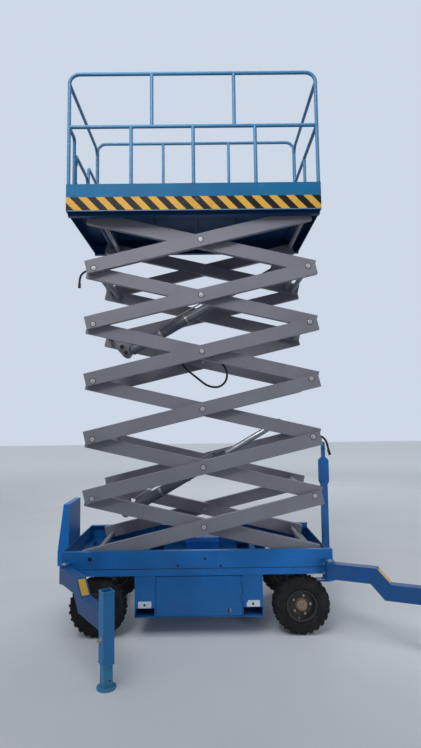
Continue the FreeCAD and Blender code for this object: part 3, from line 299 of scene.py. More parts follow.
class Repeater(Graph):
    """A Geometry Nodes tree that repeats a small mesh, with its sizes as named inputs."""

    def __init__(self, name: str, **kinds: str) -> None:
        """Open the tree.

        Args:
            name: The tree's name.
            kinds: The kind of each named input.
        """
        super().__init__(bpy.data.node_groups.new(name, "GeometryNodeTree"))
        for label, kind in {"Geometry": "Geometry", **kinds, "Material": "Material"}.items():
            self.tree.interface.new_socket(label, in_out="INPUT", socket_type=f"NodeSocket{kind}")
        self.tree.interface.new_socket("Geometry", in_out="OUTPUT", socket_type="NodeSocketGeometry")
        self.source = self.node("NodeGroupInput")
        self.index = Value(self, self.node("GeometryNodeInputIndex"))

    def given(self, label: str) -> Socket:
        """Give the socket of a named input."""
        return self.source.outputs[label]

    def along(self, axis: str, value: Value | Socket) -> Node:
        """Make a vector of one value along one axis."""
        return self.node("ShaderNodeCombineXYZ", sockets={axis: value})

    def close(self, points: Node, pattern: Socket, turn: Node) -> "Repeater":
        """End the tree in Realize Instances and Set Material.

        Args:
            points: Where the copies go.
            pattern: What is repeated.
            turn: How each copy is turned.

        Returns:
            The tree.
        """
        placed = self.node("GeometryNodeInstanceOnPoints", sockets={
            "Points": points, "Instance": pattern, "Rotation": turn})
        real = self.node("GeometryNodeRealizeInstances", sockets={0: placed})
        dressed = self.node("GeometryNodeSetMaterial", sockets={"Geometry": real, "Material": self.given("Material")})
        self.node("NodeGroupOutput", sockets={0: dressed})
        return self

    def run(self, mesh: Mesh, finish: object, **values: object) -> Mesh:
        """Run the tree over a mesh.

        Args:
            mesh: What it starts from, which it uses up.
            finish: The finish of the copies.
            values: A value for each named input.

        Returns:
            The result as a plain mesh.
        """
        obj = linked("repeated", mesh)
        modifier = obj.modifiers.new("repeat", "NODES")
        modifier.node_group = self.tree
        values["Material"] = material(finish)
        for item in self.tree.interface.items_tree:
            if item.in_out == "INPUT" and item.name in values:
                modifier[item.identifier] = values[item.name]
        graph = bpy.context.evaluated_depsgraph_get()
        result = bpy.data.meshes.new_from_object(obj.evaluated_get(graph))
        obj.modifiers.remove(modifier)
        bpy.data.objects.remove(obj)
        bpy.data.meshes.remove(mesh)
        return result


def tree_around_axle() -> Repeater:
    """Make the tree that repeats a mesh round an axle along Y.

    Returns:
        The tree.
    """
    tree = Repeater("around_axle", Count="Int", Centre="Vector", Phase="Float")
    points = tree.node("GeometryNodePoints", sockets={"Count": tree.given("Count"), "Position": tree.given("Centre")})
    angle = tree.index / tree.given("Count") * FULL_TURN + tree.given("Phase")
    return tree.close(points, tree.given("Geometry"), tree.along("Y", angle))


def tree_on_points() -> Repeater:
    """Make the tree that sets a pattern mesh on each point, turned to the point's own direction.

    Returns:
        The tree.
    """
    tree = Repeater("on_points", Pattern="Object", Spin="Float", Seed="Int")
    points = tree.node("GeometryNodeMeshToPoints", sockets={"Mesh": tree.given("Geometry")})
    pattern = tree.node("GeometryNodeObjectInfo", sockets={"Object": tree.given("Pattern")})
    way = tree.node("GeometryNodeInputNamedAttribute", {"data_type": "FLOAT_VECTOR"}, {"Name": "way"})
    aim = tree.node("FunctionNodeAlignRotationToVector", {"axis": "Z"}, {"Vector": way})
    spin = tree.node("FunctionNodeRandomValue", {"data_type": "FLOAT"},
                     {2: 0.0, 3: tree.given("Spin"), "Seed": tree.given("Seed")})
    turn = tree.node("FunctionNodeRotateRotation", {"rotation_space": "LOCAL"},
                     {0: aim, 1: tree.along("Z", spin.outputs[1])})
    return tree.close(points, pattern.outputs["Geometry"], turn)


def tree_grid() -> Repeater:
    """Make the tree that spreads a lug over a flat sheet in rows and columns, every other one crossed.

    Returns:
        The tree.
    """
    tree = Repeater("tread_plate", Length="Float", Width="Float", Columns="Int", Rows="Int", Height="Float")
    grid = tree.node("GeometryNodeMeshGrid", sockets={
        "Size X": tree.given("Length"), "Size Y": tree.given("Width"),
        "Vertices X": tree.given("Columns"), "Vertices Y": tree.given("Rows")})
    column = (tree.index / tree.given("Rows")).math("FLOOR")
    angle = (tree.index + column).math("MODULO", 2.0) * (math.pi / 2) + math.pi / 4
    raised = tree.node("GeometryNodeSetPosition", sockets={
        "Geometry": grid, "Offset": tree.along("Z", tree.given("Height"))})
    return tree.close(raised, tree.given("Geometry"), tree.along("Z", angle))


AROUND_AXLE = tree_around_axle()
ON_POINTS = tree_on_points()
TREAD_PLATE = tree_grid()


# ---------------------------------------------------------------- finishes

DUST = srgb(140, 132, 120)
RUST = srgb(104, 66, 44)
PRIMER = srgb(120, 126, 134)


@dataclass(frozen=True)
class Paint:
    """Sprayed paint on steel: soft fading, rain streaks, dust low down, scuffs and rusty chips."""

    name: str
    colour: Colour
    roughness: float = 0.42
    fading: float = 0.10
    streaks: float = 0.16
    dust: float = 0.22
    dust_top: float = 0.9
    scuffs: float = 0.35
    chips: float = 0.5
    coat: float = 0.04
    specular: float = 0.28

    def tone(self, surface: Surface) -> Socket:
        """Give the colour of the sound paint."""
        cloud = surface.clouds(2.3, 4.0).smooth(0.3, 0.7)
        return surface.mix(cloud, scaled(self.colour, 1 - self.fading), scaled(self.colour, 1 + self.fading))

    def build(self) -> Material:
        """Make the material.

        Returns:
            The finished material.
        """
        surface = Surface(self.name)
        height = surface.axes()[2]
        colour = self.tone(surface)
        rain = surface.clouds(11.0, 3.0, (1, 1, 0.1)).smooth(0.5, 0.78) * self.streaks
        colour = surface.mix(rain, colour, scaled(self.colour, 0.55))
        scratch = surface.clouds(46.0, 2.0, (0.22, 1, 1.6), 3.0).smooth(0.66, 0.74)
        patch = surface.clouds(3.1, 2.0, shift=7.0).smooth(0.48, 0.66)
        scuff = scratch * patch * self.scuffs
        colour = surface.mix(scuff, colour, PRIMER)
        low = height.smooth(self.dust_top, 0.0) * self.dust
        settled = surface.clouds(6.0, 5.0, shift=11.0).smooth(0.25, 0.75) * low + low * 0.4
        colour = surface.mix(settled, colour, DUST)
        chip = surface.clouds(34.0, 6.0, shift=19.0).smooth(0.685, 0.715) * self.chips
        colour = surface.mix(chip, colour, RUST)
        grain = surface.clouds(420.0, 2.0)
        surface.bump(grain - chip * 3.0, 0.00035, 0.5)
        rough = chip * 0.4 + settled * 0.35 + scuff * 0.15 + self.roughness
        return surface.finish(colour, rough + grain * 0.05, 0.0, self.coat, self.specular)


@dataclass(frozen=True)
class HazardPaint(Paint):
    """The platform's edge: slanted yellow bars on dark paint, with a paler lip under them."""

    half_length: float = 1.056
    half_width: float = 0.575
    low: float = 3.415
    top: float = 3.535
    pitch: float = 0.1432
    share: float = 0.48
    slant: float = 0.96
    start: float = -1.0275
    lip: float = 0.009
    sheet: float = 0.001
    yellow: Colour = srgb(206, 158, 62)
    under: Colour = srgb(26, 62, 104)
    lip_colour: Colour = srgb(84, 116, 146)

    def tone(self, surface: Surface) -> Socket:
        """Give bars on the four edge sheets, and plain dark paint elsewhere.

        Args:
            surface: The tree.

        Returns:
            The colour.
        """
        x, y, z = surface.axes()
        on_side = y.math("ABSOLUTE") > self.half_width - self.sheet
        on_end = x.math("ABSOLUTE") > self.half_length - self.sheet
        side_run = z * self.slant - y.math("SIGN") * x
        end_run = z * self.slant + x.math("SIGN") * y
        run = on_side * side_run + (1 - on_side) * end_run
        phase = ((run - (self.start + self.slant * self.top)) / self.pitch).math("FRACT")
        bar = (phase + surface.clouds(60.0, 2.0) * 0.03) > 1 - self.share
        worn = surface.clouds(24.0, 5.0, shift=5.0).smooth(0.56, 0.74) * 0.45
        striped = surface.mix(bar, self.colour, surface.mix(worn, self.yellow, scaled(self.yellow, 0.55)))
        striped = surface.mix(z < self.low + self.lip, striped, self.lip_colour)
        return surface.mix(on_side.math("MAXIMUM", on_end), self.under, striped)


@dataclass(frozen=True)
class LegPaint(Paint):
    """An outrigger: the crank is darker than the upright leg tube round one place."""

    leg_x: float = 0.0
    leg_y: float = 0.0
    reach: float = 0.056
    leg: Colour = srgb(37, 122, 182)

    def tone(self, surface: Surface) -> Socket:
        """Give the leg's paler paint near its axis."""
        x, y, _ = surface.axes()
        return surface.mix(distance(x - self.leg_x, y - self.leg_y) < self.reach, super().tone(surface), self.leg)


@dataclass(frozen=True)
class HubPaint(Paint):
    """A wheel disc: near-black paint with a rusty hub at its middle."""

    centre_x: float = 0.0
    centre_z: float = 0.228
    reach: float = 0.049
    hub: Colour = srgb(140, 116, 98)

    def tone(self, surface: Surface) -> Socket:
        """Give the rusty hub near the wheel's axis.

        Args:
            surface: The tree.

        Returns:
            The colour.
        """
        x, _, z = surface.axes()
        mottle = surface.clouds(55.0, 5.0, shift=2.0).smooth(0.35, 0.7)
        rusty = surface.mix(mottle, scaled(self.hub, 0.6), scaled(self.hub, 1.25))
        return surface.mix(distance(x - self.centre_x, z - self.centre_z) < self.reach, super().tone(surface), rusty)


@dataclass(frozen=True)
class Rubber:
    """Matt rubber, greyed by dust."""

    name: str
    colour: Colour
    dust: float = 0.3
    roughness: float = 0.82

    def build(self) -> Material:
        """Make the material.

        Returns:
            The finished material.
        """
        surface = Surface(self.name)
        cloud = surface.clouds(14.0, 5.0).smooth(0.35, 0.7)
        colour = surface.mix(cloud * self.dust, self.colour, scaled(DUST, 0.5))
        grain = surface.clouds(260.0, 3.0)
        surface.bump(grain, 0.0006, 0.6)
        return surface.finish(colour, grain * 0.1 + self.roughness, specular=0.25)


@dataclass(frozen=True)
class BareMetal:
    """Steel without paint: brushed, stained or chromed by its values."""

    name: str
    colour: Colour
    roughness: float
    stained: float
    metallic: float = 1.0
    stain: Colour = RUST

    def build(self) -> Material:
        """Make the material.

        Returns:
            The finished material.
        """
        surface = Surface(self.name)
        spots = surface.clouds(48.0, 6.0).smooth(0.52, 0.68) * self.stained
        colour = surface.mix(spots, self.colour, self.stain)
        scratch = surface.clouds(180.0, 2.0, (1, 0.06, 0.3))
        surface.bump(scratch, 0.0002, 0.4)
        rough = scratch * 0.12 + spots * 0.4 + self.roughness
        return surface.finish(colour, rough, (1 - spots) * self.metallic)


@dataclass(frozen=True)
class Tin:
    """A thin plate: one faded colour with finger marks."""

    name: str
    colour: Colour
    roughness: float = 0.35
    grime: float = 0.35

    def build(self) -> Material:
        """Make the material.

        Returns:
            The finished material.
        """
        surface = Surface(self.name)
        dirt = surface.clouds(32.0, 5.0).smooth(0.45, 0.75) * self.grime
        colour = surface.mix(dirt, self.colour, scaled(self.colour, 0.45))
        surface.bump(surface.clouds(300.0, 2.0), 0.0002, 0.3)
        return surface.finish(colour, dirt * 0.3 + self.roughness)


RAIL = Paint("railing_blue", srgb(62, 120, 162), fading=0.08, dust=0.0, chips=0.35)
TOE = Paint("toe_board_blue", srgb(28, 98, 141), dust=0.0, scuffs=0.4, specular=0.08, coat=0.0)
CHASSIS = Paint("chassis_blue", srgb(14, 98, 168), fading=0.16, dust=0.03)
BOX = Paint("box_blue", srgb(12, 94, 160), fading=0.14, dust=0.04, scuffs=0.4)
DOOR = Paint("door_blue", srgb(12, 94, 160), fading=0.12, dust=0.04, scuffs=0.4)
CABINET = Paint("cabinet_blue", srgb(14, 115, 197), fading=0.12, dust=0.05)
AXLE = Paint("axle_dark_blue", srgb(22, 42, 66), fading=0.2, dust=0.2, roughness=0.6)
DRAWBAR = Paint("drawbar_blue", srgb(16, 94, 164), fading=0.14, dust=0.03, chips=0.8)
ARM = Paint("arm_grey", srgb(120, 122, 131), roughness=0.5, fading=0.07, streaks=0.1, dust=0.05, scuffs=0.5, chips=0.35)
BARREL = Paint("barrel_grey", srgb(98, 104, 114), fading=0.12, dust=0.0, roughness=0.38)
TANK = Paint("tank_blue", srgb(16, 106, 206), dust=0.05)
FOOT = Paint("leg_worn_blue", srgb(42, 136, 182), fading=0.2, dust=0.12, dust_top=0.2, chips=1.0, scuffs=0.8)
HAZARD = HazardPaint("hazard_bars", srgb(17, 19, 26), fading=0.05, dust=0.0, chips=0.25, specular=0.12)
RUBBER = Rubber("tyre_rubber", srgb(20, 21, 24), dust=0.1)
HOSE = Rubber("hose_rubber", srgb(20, 21, 24), dust=0.08, roughness=0.5)
CHROME = BareMetal("rod_chrome", srgb(172, 176, 182), 0.3, 0.1)
STEEL = BareMetal("worn_steel", srgb(140, 140, 142), 0.42, 0.45)
PIN = BareMetal("pin_steel", srgb(168, 168, 170), 0.45, 0.3, 0.4, srgb(110, 88, 72))
ZINC = BareMetal("zinc_bolt", srgb(160, 160, 160), 0.38, 0.3, 0.8)
FITTING = BareMetal("dark_fitting", srgb(58, 60, 64), 0.5, 0.3)
FLOOR_PLATE = BareMetal("tread_plate_steel", srgb(128, 132, 136), 0.5, 0.5, 0.5)
LABEL = Tin("pale_label", srgb(206, 214, 226))
# Near-black: the real plugs and label studs, and also painted shade in hole bores, in the door slot and round the pin
# heads.
MARK_AND_SHADE = Tin("dark_mark", srgb(16, 17, 20), grime=0.1)
# Painted shade: the dark line in the crease under each side rail.
SEAM_SHADE = Tin("seam_shadow", srgb(6, 34, 70), roughness=0.6, grime=0.1)
YELLOW = Tin("yellow_strip", srgb(206, 162, 44), roughness=0.42, grime=0.25)

FINISH_OF = {
    "tyre": RUBBER, "lift_rod": CHROME, "lift_barrel": BARREL, ("base_roller", "deck_roller"): STEEL,
    ("outer_arms", "inner_arms"): ARM, "deck_frame": HAZARD, "toe_boards": TOE, ("railing", "entry_gate"): RAIL,
    "base_frame": CHASSIS, "equipment_box": BOX, "box_door": DOOR, "control_cabinet": CABINET,
    ("power_unit", "oil_tank"): TANK, "outrigger_leg": FOOT, "drawbar": DRAWBAR,
    ("rear_axle", "steering_axle", "knuckle", "tie_rod"): AXLE,
}
MADE: dict[str, Material] = {}


def material(finish: object) -> Material:
    """Make a finish's material once and share it after that.

    Args:
        finish: One of the finishes above, or a class of paint with its own place.

    Returns:
        The material.
    """
    if finish.name not in MADE:
        MADE[finish.name] = finish.build()
    return MADE[finish.name]


# ---------------------------------------------------------------- mesh tools


def linked(name: str, data: bpy.types.ID | None) -> Object:
    """Make an object of some data at the scene's origin."""
    bpy.context.scene.collection.objects.link(obj := bpy.data.objects.new(name, data))
    return obj


def piece(name: str, mesh: Mesh, finish: object, body: str) -> Object:
    """Turn a mesh into a finished piece that rides on a body.

    Args:
        name: The piece's name.
        mesh: Its mesh, in the machine's own frame.
        finish: Its finish.
        body: The body that carries it.

    Returns:
        The object.
    """
    obj = linked(name, mesh)
    mesh.materials.clear()
    mesh.materials.append(material(finish))
    mesh.shade_smooth()
    mesh.set_sharp_from_angle(angle=SMOOTH_BELOW)
    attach(obj, body)
    log.info("%s: %d faces on %s", name, len(mesh.polygons), body)
    return obj


class Shell:
    """A closed mesh in the making."""

    def __init__(self) -> None:
        """Start with nothing."""
        self.work = bmesh.new()

    def corners(self, points: Iterable[Vector | Triple]) -> list[bmesh.types.BMVert]:
        """Add a corner at each point."""
        return [self.work.verts.new(point) for point in points]

    def skin(self, rings: Sequence[list[bmesh.types.BMVert]], capped: bool = False) -> None:
        """Join neighbouring rings of corners by faces all the way round.

        Args:
            rings: The rings in order; one of a single corner is a pole.
            capped: Whether the first and the last ring are filled.
        """
        if capped:
            self.work.faces.new(rings[0][::-1])
            self.work.faces.new(rings[-1])
        for first, second in zip(rings, rings[1:]):
            for i in range(max(len(first), len(second))):
                around = [ring[k % len(ring)] for ring, k in ((first, i), (first, i + 1), (second, i + 1), (second, i))]
                unique = list(dict.fromkeys(around))
                if len(unique) > 2:
                    self.work.faces.new(unique)

    def finish(self) -> Mesh:
        """Merge doubles and turn the faces outwards.

        Returns:
            The mesh.
        """
        bmesh.ops.remove_doubles(self.work, verts=self.work.verts, dist=MERGE)
        bmesh.ops.recalc_face_normals(self.work, faces=self.work.faces)
        mesh = bpy.data.meshes.new("part")
        self.work.to_mesh(mesh)
        self.work.free()
        return mesh


def joined(meshes: Iterable[Mesh]) -> Mesh:
    """Put several meshes into one and drop the parts.

    Args:
        meshes: The parts.

    Returns:
        The whole.
    """
    work = bmesh.new()
    for mesh in meshes:
        work.from_mesh(mesh)
        bpy.data.meshes.remove(mesh)
    whole = bpy.data.meshes.new("joined")
    work.to_mesh(whole)
    work.free()
    return whole


def facing(direction: Vector | Triple, at: Vector | Triple) -> Matrix:
    """Give the placing that turns +Z to a direction and moves to a point."""
    return Matrix.Translation(Vector(at)) @ Vector(direction).to_track_quat("Z", "Y").to_matrix().to_4x4()


def axes_at(point: Vector, *axes: Vector) -> Matrix:
    """Give the placing at a point with these X, Y and Z."""
    return Matrix.Translation(point) @ Matrix(axes).transposed().to_4x4()


def directions(count: int) -> list[tuple[float, float]]:
    """Give the cosine and sine of angles spread evenly round a circle."""
    return [(math.cos(FULL_TURN * i / count), math.sin(FULL_TURN * i / count)) for i in range(count)]


def turned(profile: Profile, placing: Matrix = Matrix(), steps: int = 32, ring: bool = False) -> Mesh:
    """Turn a profile of radius and height about its own Z.

    Args:
        profile: Pairs of radius and height; a radius of nought closes a pole.
        placing: Where the axis goes.
        steps: How many faces go round.
        ring: Whether the profile closes on itself.

    Returns:
        The closed mesh.
    """
    shell = Shell()
    loops = [shell.corners(placing @ Vector((radius * cosine, radius * sine, height))
                           for cosine, sine in directions(steps if radius > MERGE else 1))
             for radius, height in profile]
    shell.skin(loops + loops[:1] if ring else loops)
    return shell.finish()


def grown(radius: float, steps: Profile) -> Profile:
    """Give a profile of radius and height from pairs of distance past a radius and height."""
    return [(radius + step, height) for step, height in steps]


def slab(outline: Profile, thickness: float, placing: Matrix = Matrix(), bevel: float = 0.0) -> Mesh:
    """Raise a flat outline on its own XY plane and soften its edges.

    Args:
        outline: Corners in order.
        thickness: Its height along its own Z.
        placing: Where its plane goes.
        bevel: Width of the softened edge.

    Returns:
        The closed mesh.
    """
    shell = Shell()
    shell.skin([shell.corners((x, y, z) for x, y in outline) for z in (0, thickness)], capped=True)
    if bevel:
        bmesh.ops.bevel(shell.work, geom=list(shell.work.edges), offset=bevel, segments=1, affect="EDGES")
    shell.work.transform(placing)
    return shell.finish()


def rounded(width: float, height: float, radius: float) -> Profile:
    """Give the outline of a rectangle with rounded corners about the origin.

    Args:
        width, height: Its size.
        radius: The radius of its corners.

    Returns:
        The corners in order.
    """
    corners = []
    for turn, (sx, sy) in enumerate(((1, 1), (-1, 1), (-1, -1), (1, -1))):
        for i in range(CORNER_STEPS + 1):
            angle = math.pi / 2 * (turn + i / CORNER_STEPS)
            corners.append((sx * (width / 2 - radius) + radius * math.cos(angle),
                            sy * (height / 2 - radius) + radius * math.sin(angle)))
    return corners


def tube(line: Sequence[Vector], radius: float, steps: int = 10) -> Mesh:
    """Run a round tube along points, with closed ends.

    Args:
        line: The centre line.
        radius: The tube's radius.
        steps: How many faces go round.

    Returns:
        The closed mesh.
    """
    shell = Shell()
    rings = []
    for i, point in enumerate(line):
        ahead = (line[min(i + 1, len(line) - 1)] - line[max(i - 1, 0)]).normalized()
        side = ahead.cross(ACROSS)
        side = (side if side.length > 0.1 else ahead.cross(Vector((1, 0, 0)))).normalized()
        other = ahead.cross(side)
        rings.append(shell.corners(point + radius * (side * cosine + other * sine)
                                   for cosine, sine in directions(steps)))
    shell.skin(rings, capped=True)
    return shell.finish()


def spline(points: Sequence[Vector], samples: int) -> list[Vector]:
    """Round a line of points off into a smooth path that passes through them all.

    Args:
        points: The points.
        samples: How many steps go from one to the next.

    Returns:
        The path.
    """
    padded = [2 * points[0] - points[1], *points, 2 * points[-1] - points[-2]]
    path = []
    for a, b, c, d in zip(padded, padded[1:], padded[2:], padded[3:]):
        for t in (i / samples for i in range(samples)):
            path.append(0.5 * ((2 * b) + (c - a) * t + (2 * a - 5 * b + 4 * c - d) * t * t
                               + (3 * b - a - 3 * c + d) * t ** 3))
    return [*path, points[-1]]


def spread(pattern: Mesh, places: Sequence[tuple[Triple, Triple]], finish: object, seed: int,
           spin: float = 1.0) -> Mesh:
    """Set a pattern mesh on many places.

    Args:
        pattern: The mesh to repeat; its +Z looks along each place's direction.
        places: A point and a direction for each copy.
        finish: The finish of the copies.
        seed: Fixes how far each copy turns about its direction.
        spin: The largest such turn, in radians.

    Returns:
        All the copies as one mesh.
    """
    base = bpy.data.meshes.new("places")
    base.from_pydata([point for point, _ in places], [], [])
    way = base.attributes.new("way", "FLOAT_VECTOR", "POINT")
    for item, (_, direction) in zip(way.data, places):
        item.vector = direction
    holder = linked("pattern", pattern)
    result = ON_POINTS.run(base, finish, Pattern=holder, Seed=seed, Spin=spin)
    bpy.data.objects.remove(holder)
    bpy.data.meshes.remove(pattern)
    return result


def hex_bolt(radius: float, height: float, washer: float, base: float = 0.0015) -> Mesh:
    """Make a bolt head with chamfered corners on its washer, standing on the origin.

    Args:
        radius, height: The size of the head.
        washer: The washer's radius.
        base: The washer's thickness.

    Returns:
        The mesh.
    """
    ring = turned([(0, 0), (washer, 0), (washer, base * 0.7), (washer - 0.0006, base), (radius * 0.8, base),
                   (0, base)], steps=20)
    top = base + height
    head = turned([(0, base), (radius, base), (radius, top - radius * 0.18), (radius * 0.86, top), (0, top)], steps=6)
    return joined((ring, head))


# ---------------------------------------------------------------- the machine

JOINT = {joint["name"]: joint for joint in frame["joints"]}


def joint_point(name: str) -> Vector:
    """Give a joint's place at rest."""
    return Vector(JOINT[name]["pos_m"])


def middle_of(name: str) -> Vector:
    """Give the middle of a node's box."""
    low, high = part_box(name)
    return (low + high) / 2


@dataclass
class Finishes:
    """Gives every CAD piece its material."""

    crank: Colour = srgb(14, 74, 134)
    disc: Colour = srgb(28, 27, 30)

    def dress(self) -> None:
        """Dress all the nodes."""
        for name, node in frame["nodes"].items():
            finish = self.finish_of(name)
            for slot in node.material_slots:
                slot.material = material(finish)
            if not node.material_slots:
                node.data.materials.append(material(finish))

    def finish_of(self, name: str) -> object:
        """Choose the finish of one node: some have a place of their own, the rest go by name.

        Args:
            name: The node's name.

        Returns:
            Its finish.
        """
        if name.startswith("outrigger_arm"):
            leg = middle_of(name.replace("arm", "leg"))
            return LegPaint("paint_" + name, self.crank, dust=0.05, chips=0.9, leg_x=leg.x, leg_y=leg.y)
        if name.startswith("rim"):
            hub = middle_of(name)
            return HubPaint("paint_" + name, self.disc, dust=0.12, dust_top=0.6, chips=0.4,
                            centre_x=hub.x, centre_z=hub.z)
        return next(finish for start, finish in FINISH_OF.items() if name.startswith(start))


@dataclass
class ScissorStack:
    """Pin heads on the arms, the dark rings of painted shadow round them and the nuts inside."""

    face: float = 0.480
    inner_face: float = 0.374
    head_radius: float = 0.0200
    head_height: float = 0.004
    shadow_ring: float = 0.0255
    shadow_ring_height: float = 0.0008

    def pins(self, level: int) -> dict[str, Vector]:
        """Give the left, middle and right pin of one outer pair.

        Args:
            level: The level, from the lowest.

        Returns:
            The pins by name.
        """
        left = joint_point("lift" if level == 1 else f"left_pin_{level}")
        middle = joint_point(f"middle_pin_{level}")
        return {"left": left, "middle": middle, "right": 2 * middle - left}

    def head(self) -> Mesh:
        """Make a flat pin head: a broad collar, a groove and a domed bolt in its middle."""
        shape = ((0, 0), (1, 0), (1, 0.55), (0.9, 0.8), (0.62, 0.8), (0.56, 0.4), (0.5, 0.4), (0.46, 0.85), (0.2, 1),
                 (0, 1))
        return turned([(self.head_radius * radius, self.head_height * height) for radius, height in shape], steps=28)

    def build(self) -> None:
        """Make the heads and the painted shadow rings of every outer pair, apart from the ends that hold no pin, and
        the nuts.
        """
        for level in LEVELS:
            pins, body = self.pins(level), f"outer_{level}"
            places = [side.spot(pin.x, self.face, pin.z) for key, pin in pins.items()
                      if (level, key) not in ((1, "left"), (6, "right")) for side in Side]
            piece(f"pin_heads_{level}", spread(self.head(), places, PIN, level), PIN, body)
            # A thin dark disc under each head and wider than it: painted shadow round the pin head.
            shadow_ring = turned([(0, 0), (self.shadow_ring, 0), (self.shadow_ring - 0.001, self.shadow_ring_height), (0, self.shadow_ring_height)],
                          steps=28)
            piece(f"pin_seats_{level}", spread(shadow_ring, places, MARK_AND_SHADE, level), MARK_AND_SHADE, body)
            pin = pins["middle"]
            inside = [((pin.x, side.value * self.inner_face, pin.z), (0, -side.value, 0)) for side in Side]
            nuts = spread(hex_bolt(0.013, 0.008, 0.021), inside, ZINC, 20 + level)
            piece(f"pin_nuts_{level}", nuts, ZINC, body)


@dataclass
class LiftCylinder:
    """The gland, ports, clips and fixed oil pipe of one lift cylinder, and the tube ends on its lugs with painted shade
    in their bores.
    """

    which: str
    length: float = 1.010
    radius: float = 0.045
    pipe_radius: float = 0.006
    pipe_gap: float = 0.022
    port_ends: tuple[float, float] = (0.13, 0.075)
    clip_shares: tuple[float, float] = (0.35, 0.62)
    lug_face: float = 0.062
    gland: Profile = ((-0.001, -0.045), (0.004, -0.043), (0.004, -0.014), (0.001, -0.010), (0.001, -0.004),
                      (-0.006, 0.0), (-0.012, 0.0), (-0.012, -0.045))
    clip: Profile = ((-0.001, -0.011), (0.0035, -0.010), (0.0035, 0.010), (-0.001, 0.011))
    port: Profile = ((0, -0.006), (0.016, -0.006), (0.016, 0.006), (0.013, 0.009), (0.010, 0.009), (0.010, 0.016),
                     (0.0075, 0.018), (0, 0.018))
    tube_end: Profile = ((0.020, -0.002), (0.029, -0.002), (0.029, 0.009), (0.0275, 0.010), (0.0215, 0.010),
                         (0.020, 0.009))
    bore_shade: Profile = ((0, 0), (0.021, 0), (0.021, 0.001), (0, 0.001))

    def build(self) -> None:
        """Make the pieces on the barrel."""
        foot = joint_point(f"barrel_pin_{self.which}")
        along = Vector(JOINT[f"rod_{self.which}"]["axis"]).normalized()
        out = along.cross(ACROSS).normalized()
        out = out if out.z > 0 else -out
        body = f"barrel_{self.which}"
        gland = turned(grown(self.radius, self.gland), facing(along, foot + along * self.length), 40, ring=True)
        piece(f"cylinder_gland_{self.which}", gland, BARREL, body)
        near, far = foot + along * self.port_ends[0], foot + along * (self.length - self.port_ends[1])
        pipe = tube(self.pipe_path(near, far, along, out), self.pipe_radius)
        piece(f"cylinder_pipe_{self.which}", pipe, ZINC, body)
        ports = joined(turned(self.port, facing(out, point + out * self.radius), steps)
                       for point, steps in ((near, 24), (far, 6)))
        piece(f"cylinder_ports_{self.which}", ports, BARREL, body)
        clips = joined(turned(grown(self.radius, self.clip), facing(along, foot + along * self.length * share), 40,
                              ring=True) for share in self.clip_shares)
        piece(f"cylinder_clips_{self.which}", clips, ZINC, body)
        self.tube_ends(foot)

    def pipe_path(self, near: Vector, far: Vector, along: Vector, out: Vector) -> list[Vector]:
        """Lead the pipe out of one port, along the barrel and into the other.

        Args:
            near, far: Where the ports stand on the barrel's axis.
            along, out: The barrel's direction and the way to the pipe.

        Returns:
            The path.
        """
        reach = self.radius + self.pipe_gap
        half = []
        for end, way in ((near, along), (far, -along)):
            half.append([end + out * (self.radius - 0.004), end + out * (reach - 0.008), end + out * reach + way * 0.02,
                         end + out * reach + way * 0.3])
        return spline(half[0] + half[1][::-1], 8)

    def tube_ends(self, foot: Vector) -> None:
        """Make the open tube ends on the lugs, round the pin and above it, each with a dark disc of painted shade in
        its bore.

        Args:
            foot: The pin that holds the barrel.
        """
        places = [facing((0, side.value, 0), foot + Vector((x, side.value * self.lug_face, z)))
                  for side in Side for x, z in ((0.0, 0.0), (-0.034, 0.052))]
        body = JOINT[f"barrel_pin_{self.which}"]["parent"]
        rings = joined(turned(self.tube_end, place, 32, ring=True) for place in places)
        piece(f"lug_tube_ends_{self.which}", rings, ARM, body)
        # Dark discs set in the tube ends' bores: painted shade.
        holes = joined(turned(self.bore_shade, place, 24) for place in places)
        piece(f"lug_tube_holes_{self.which}", holes, MARK_AND_SHADE, body)


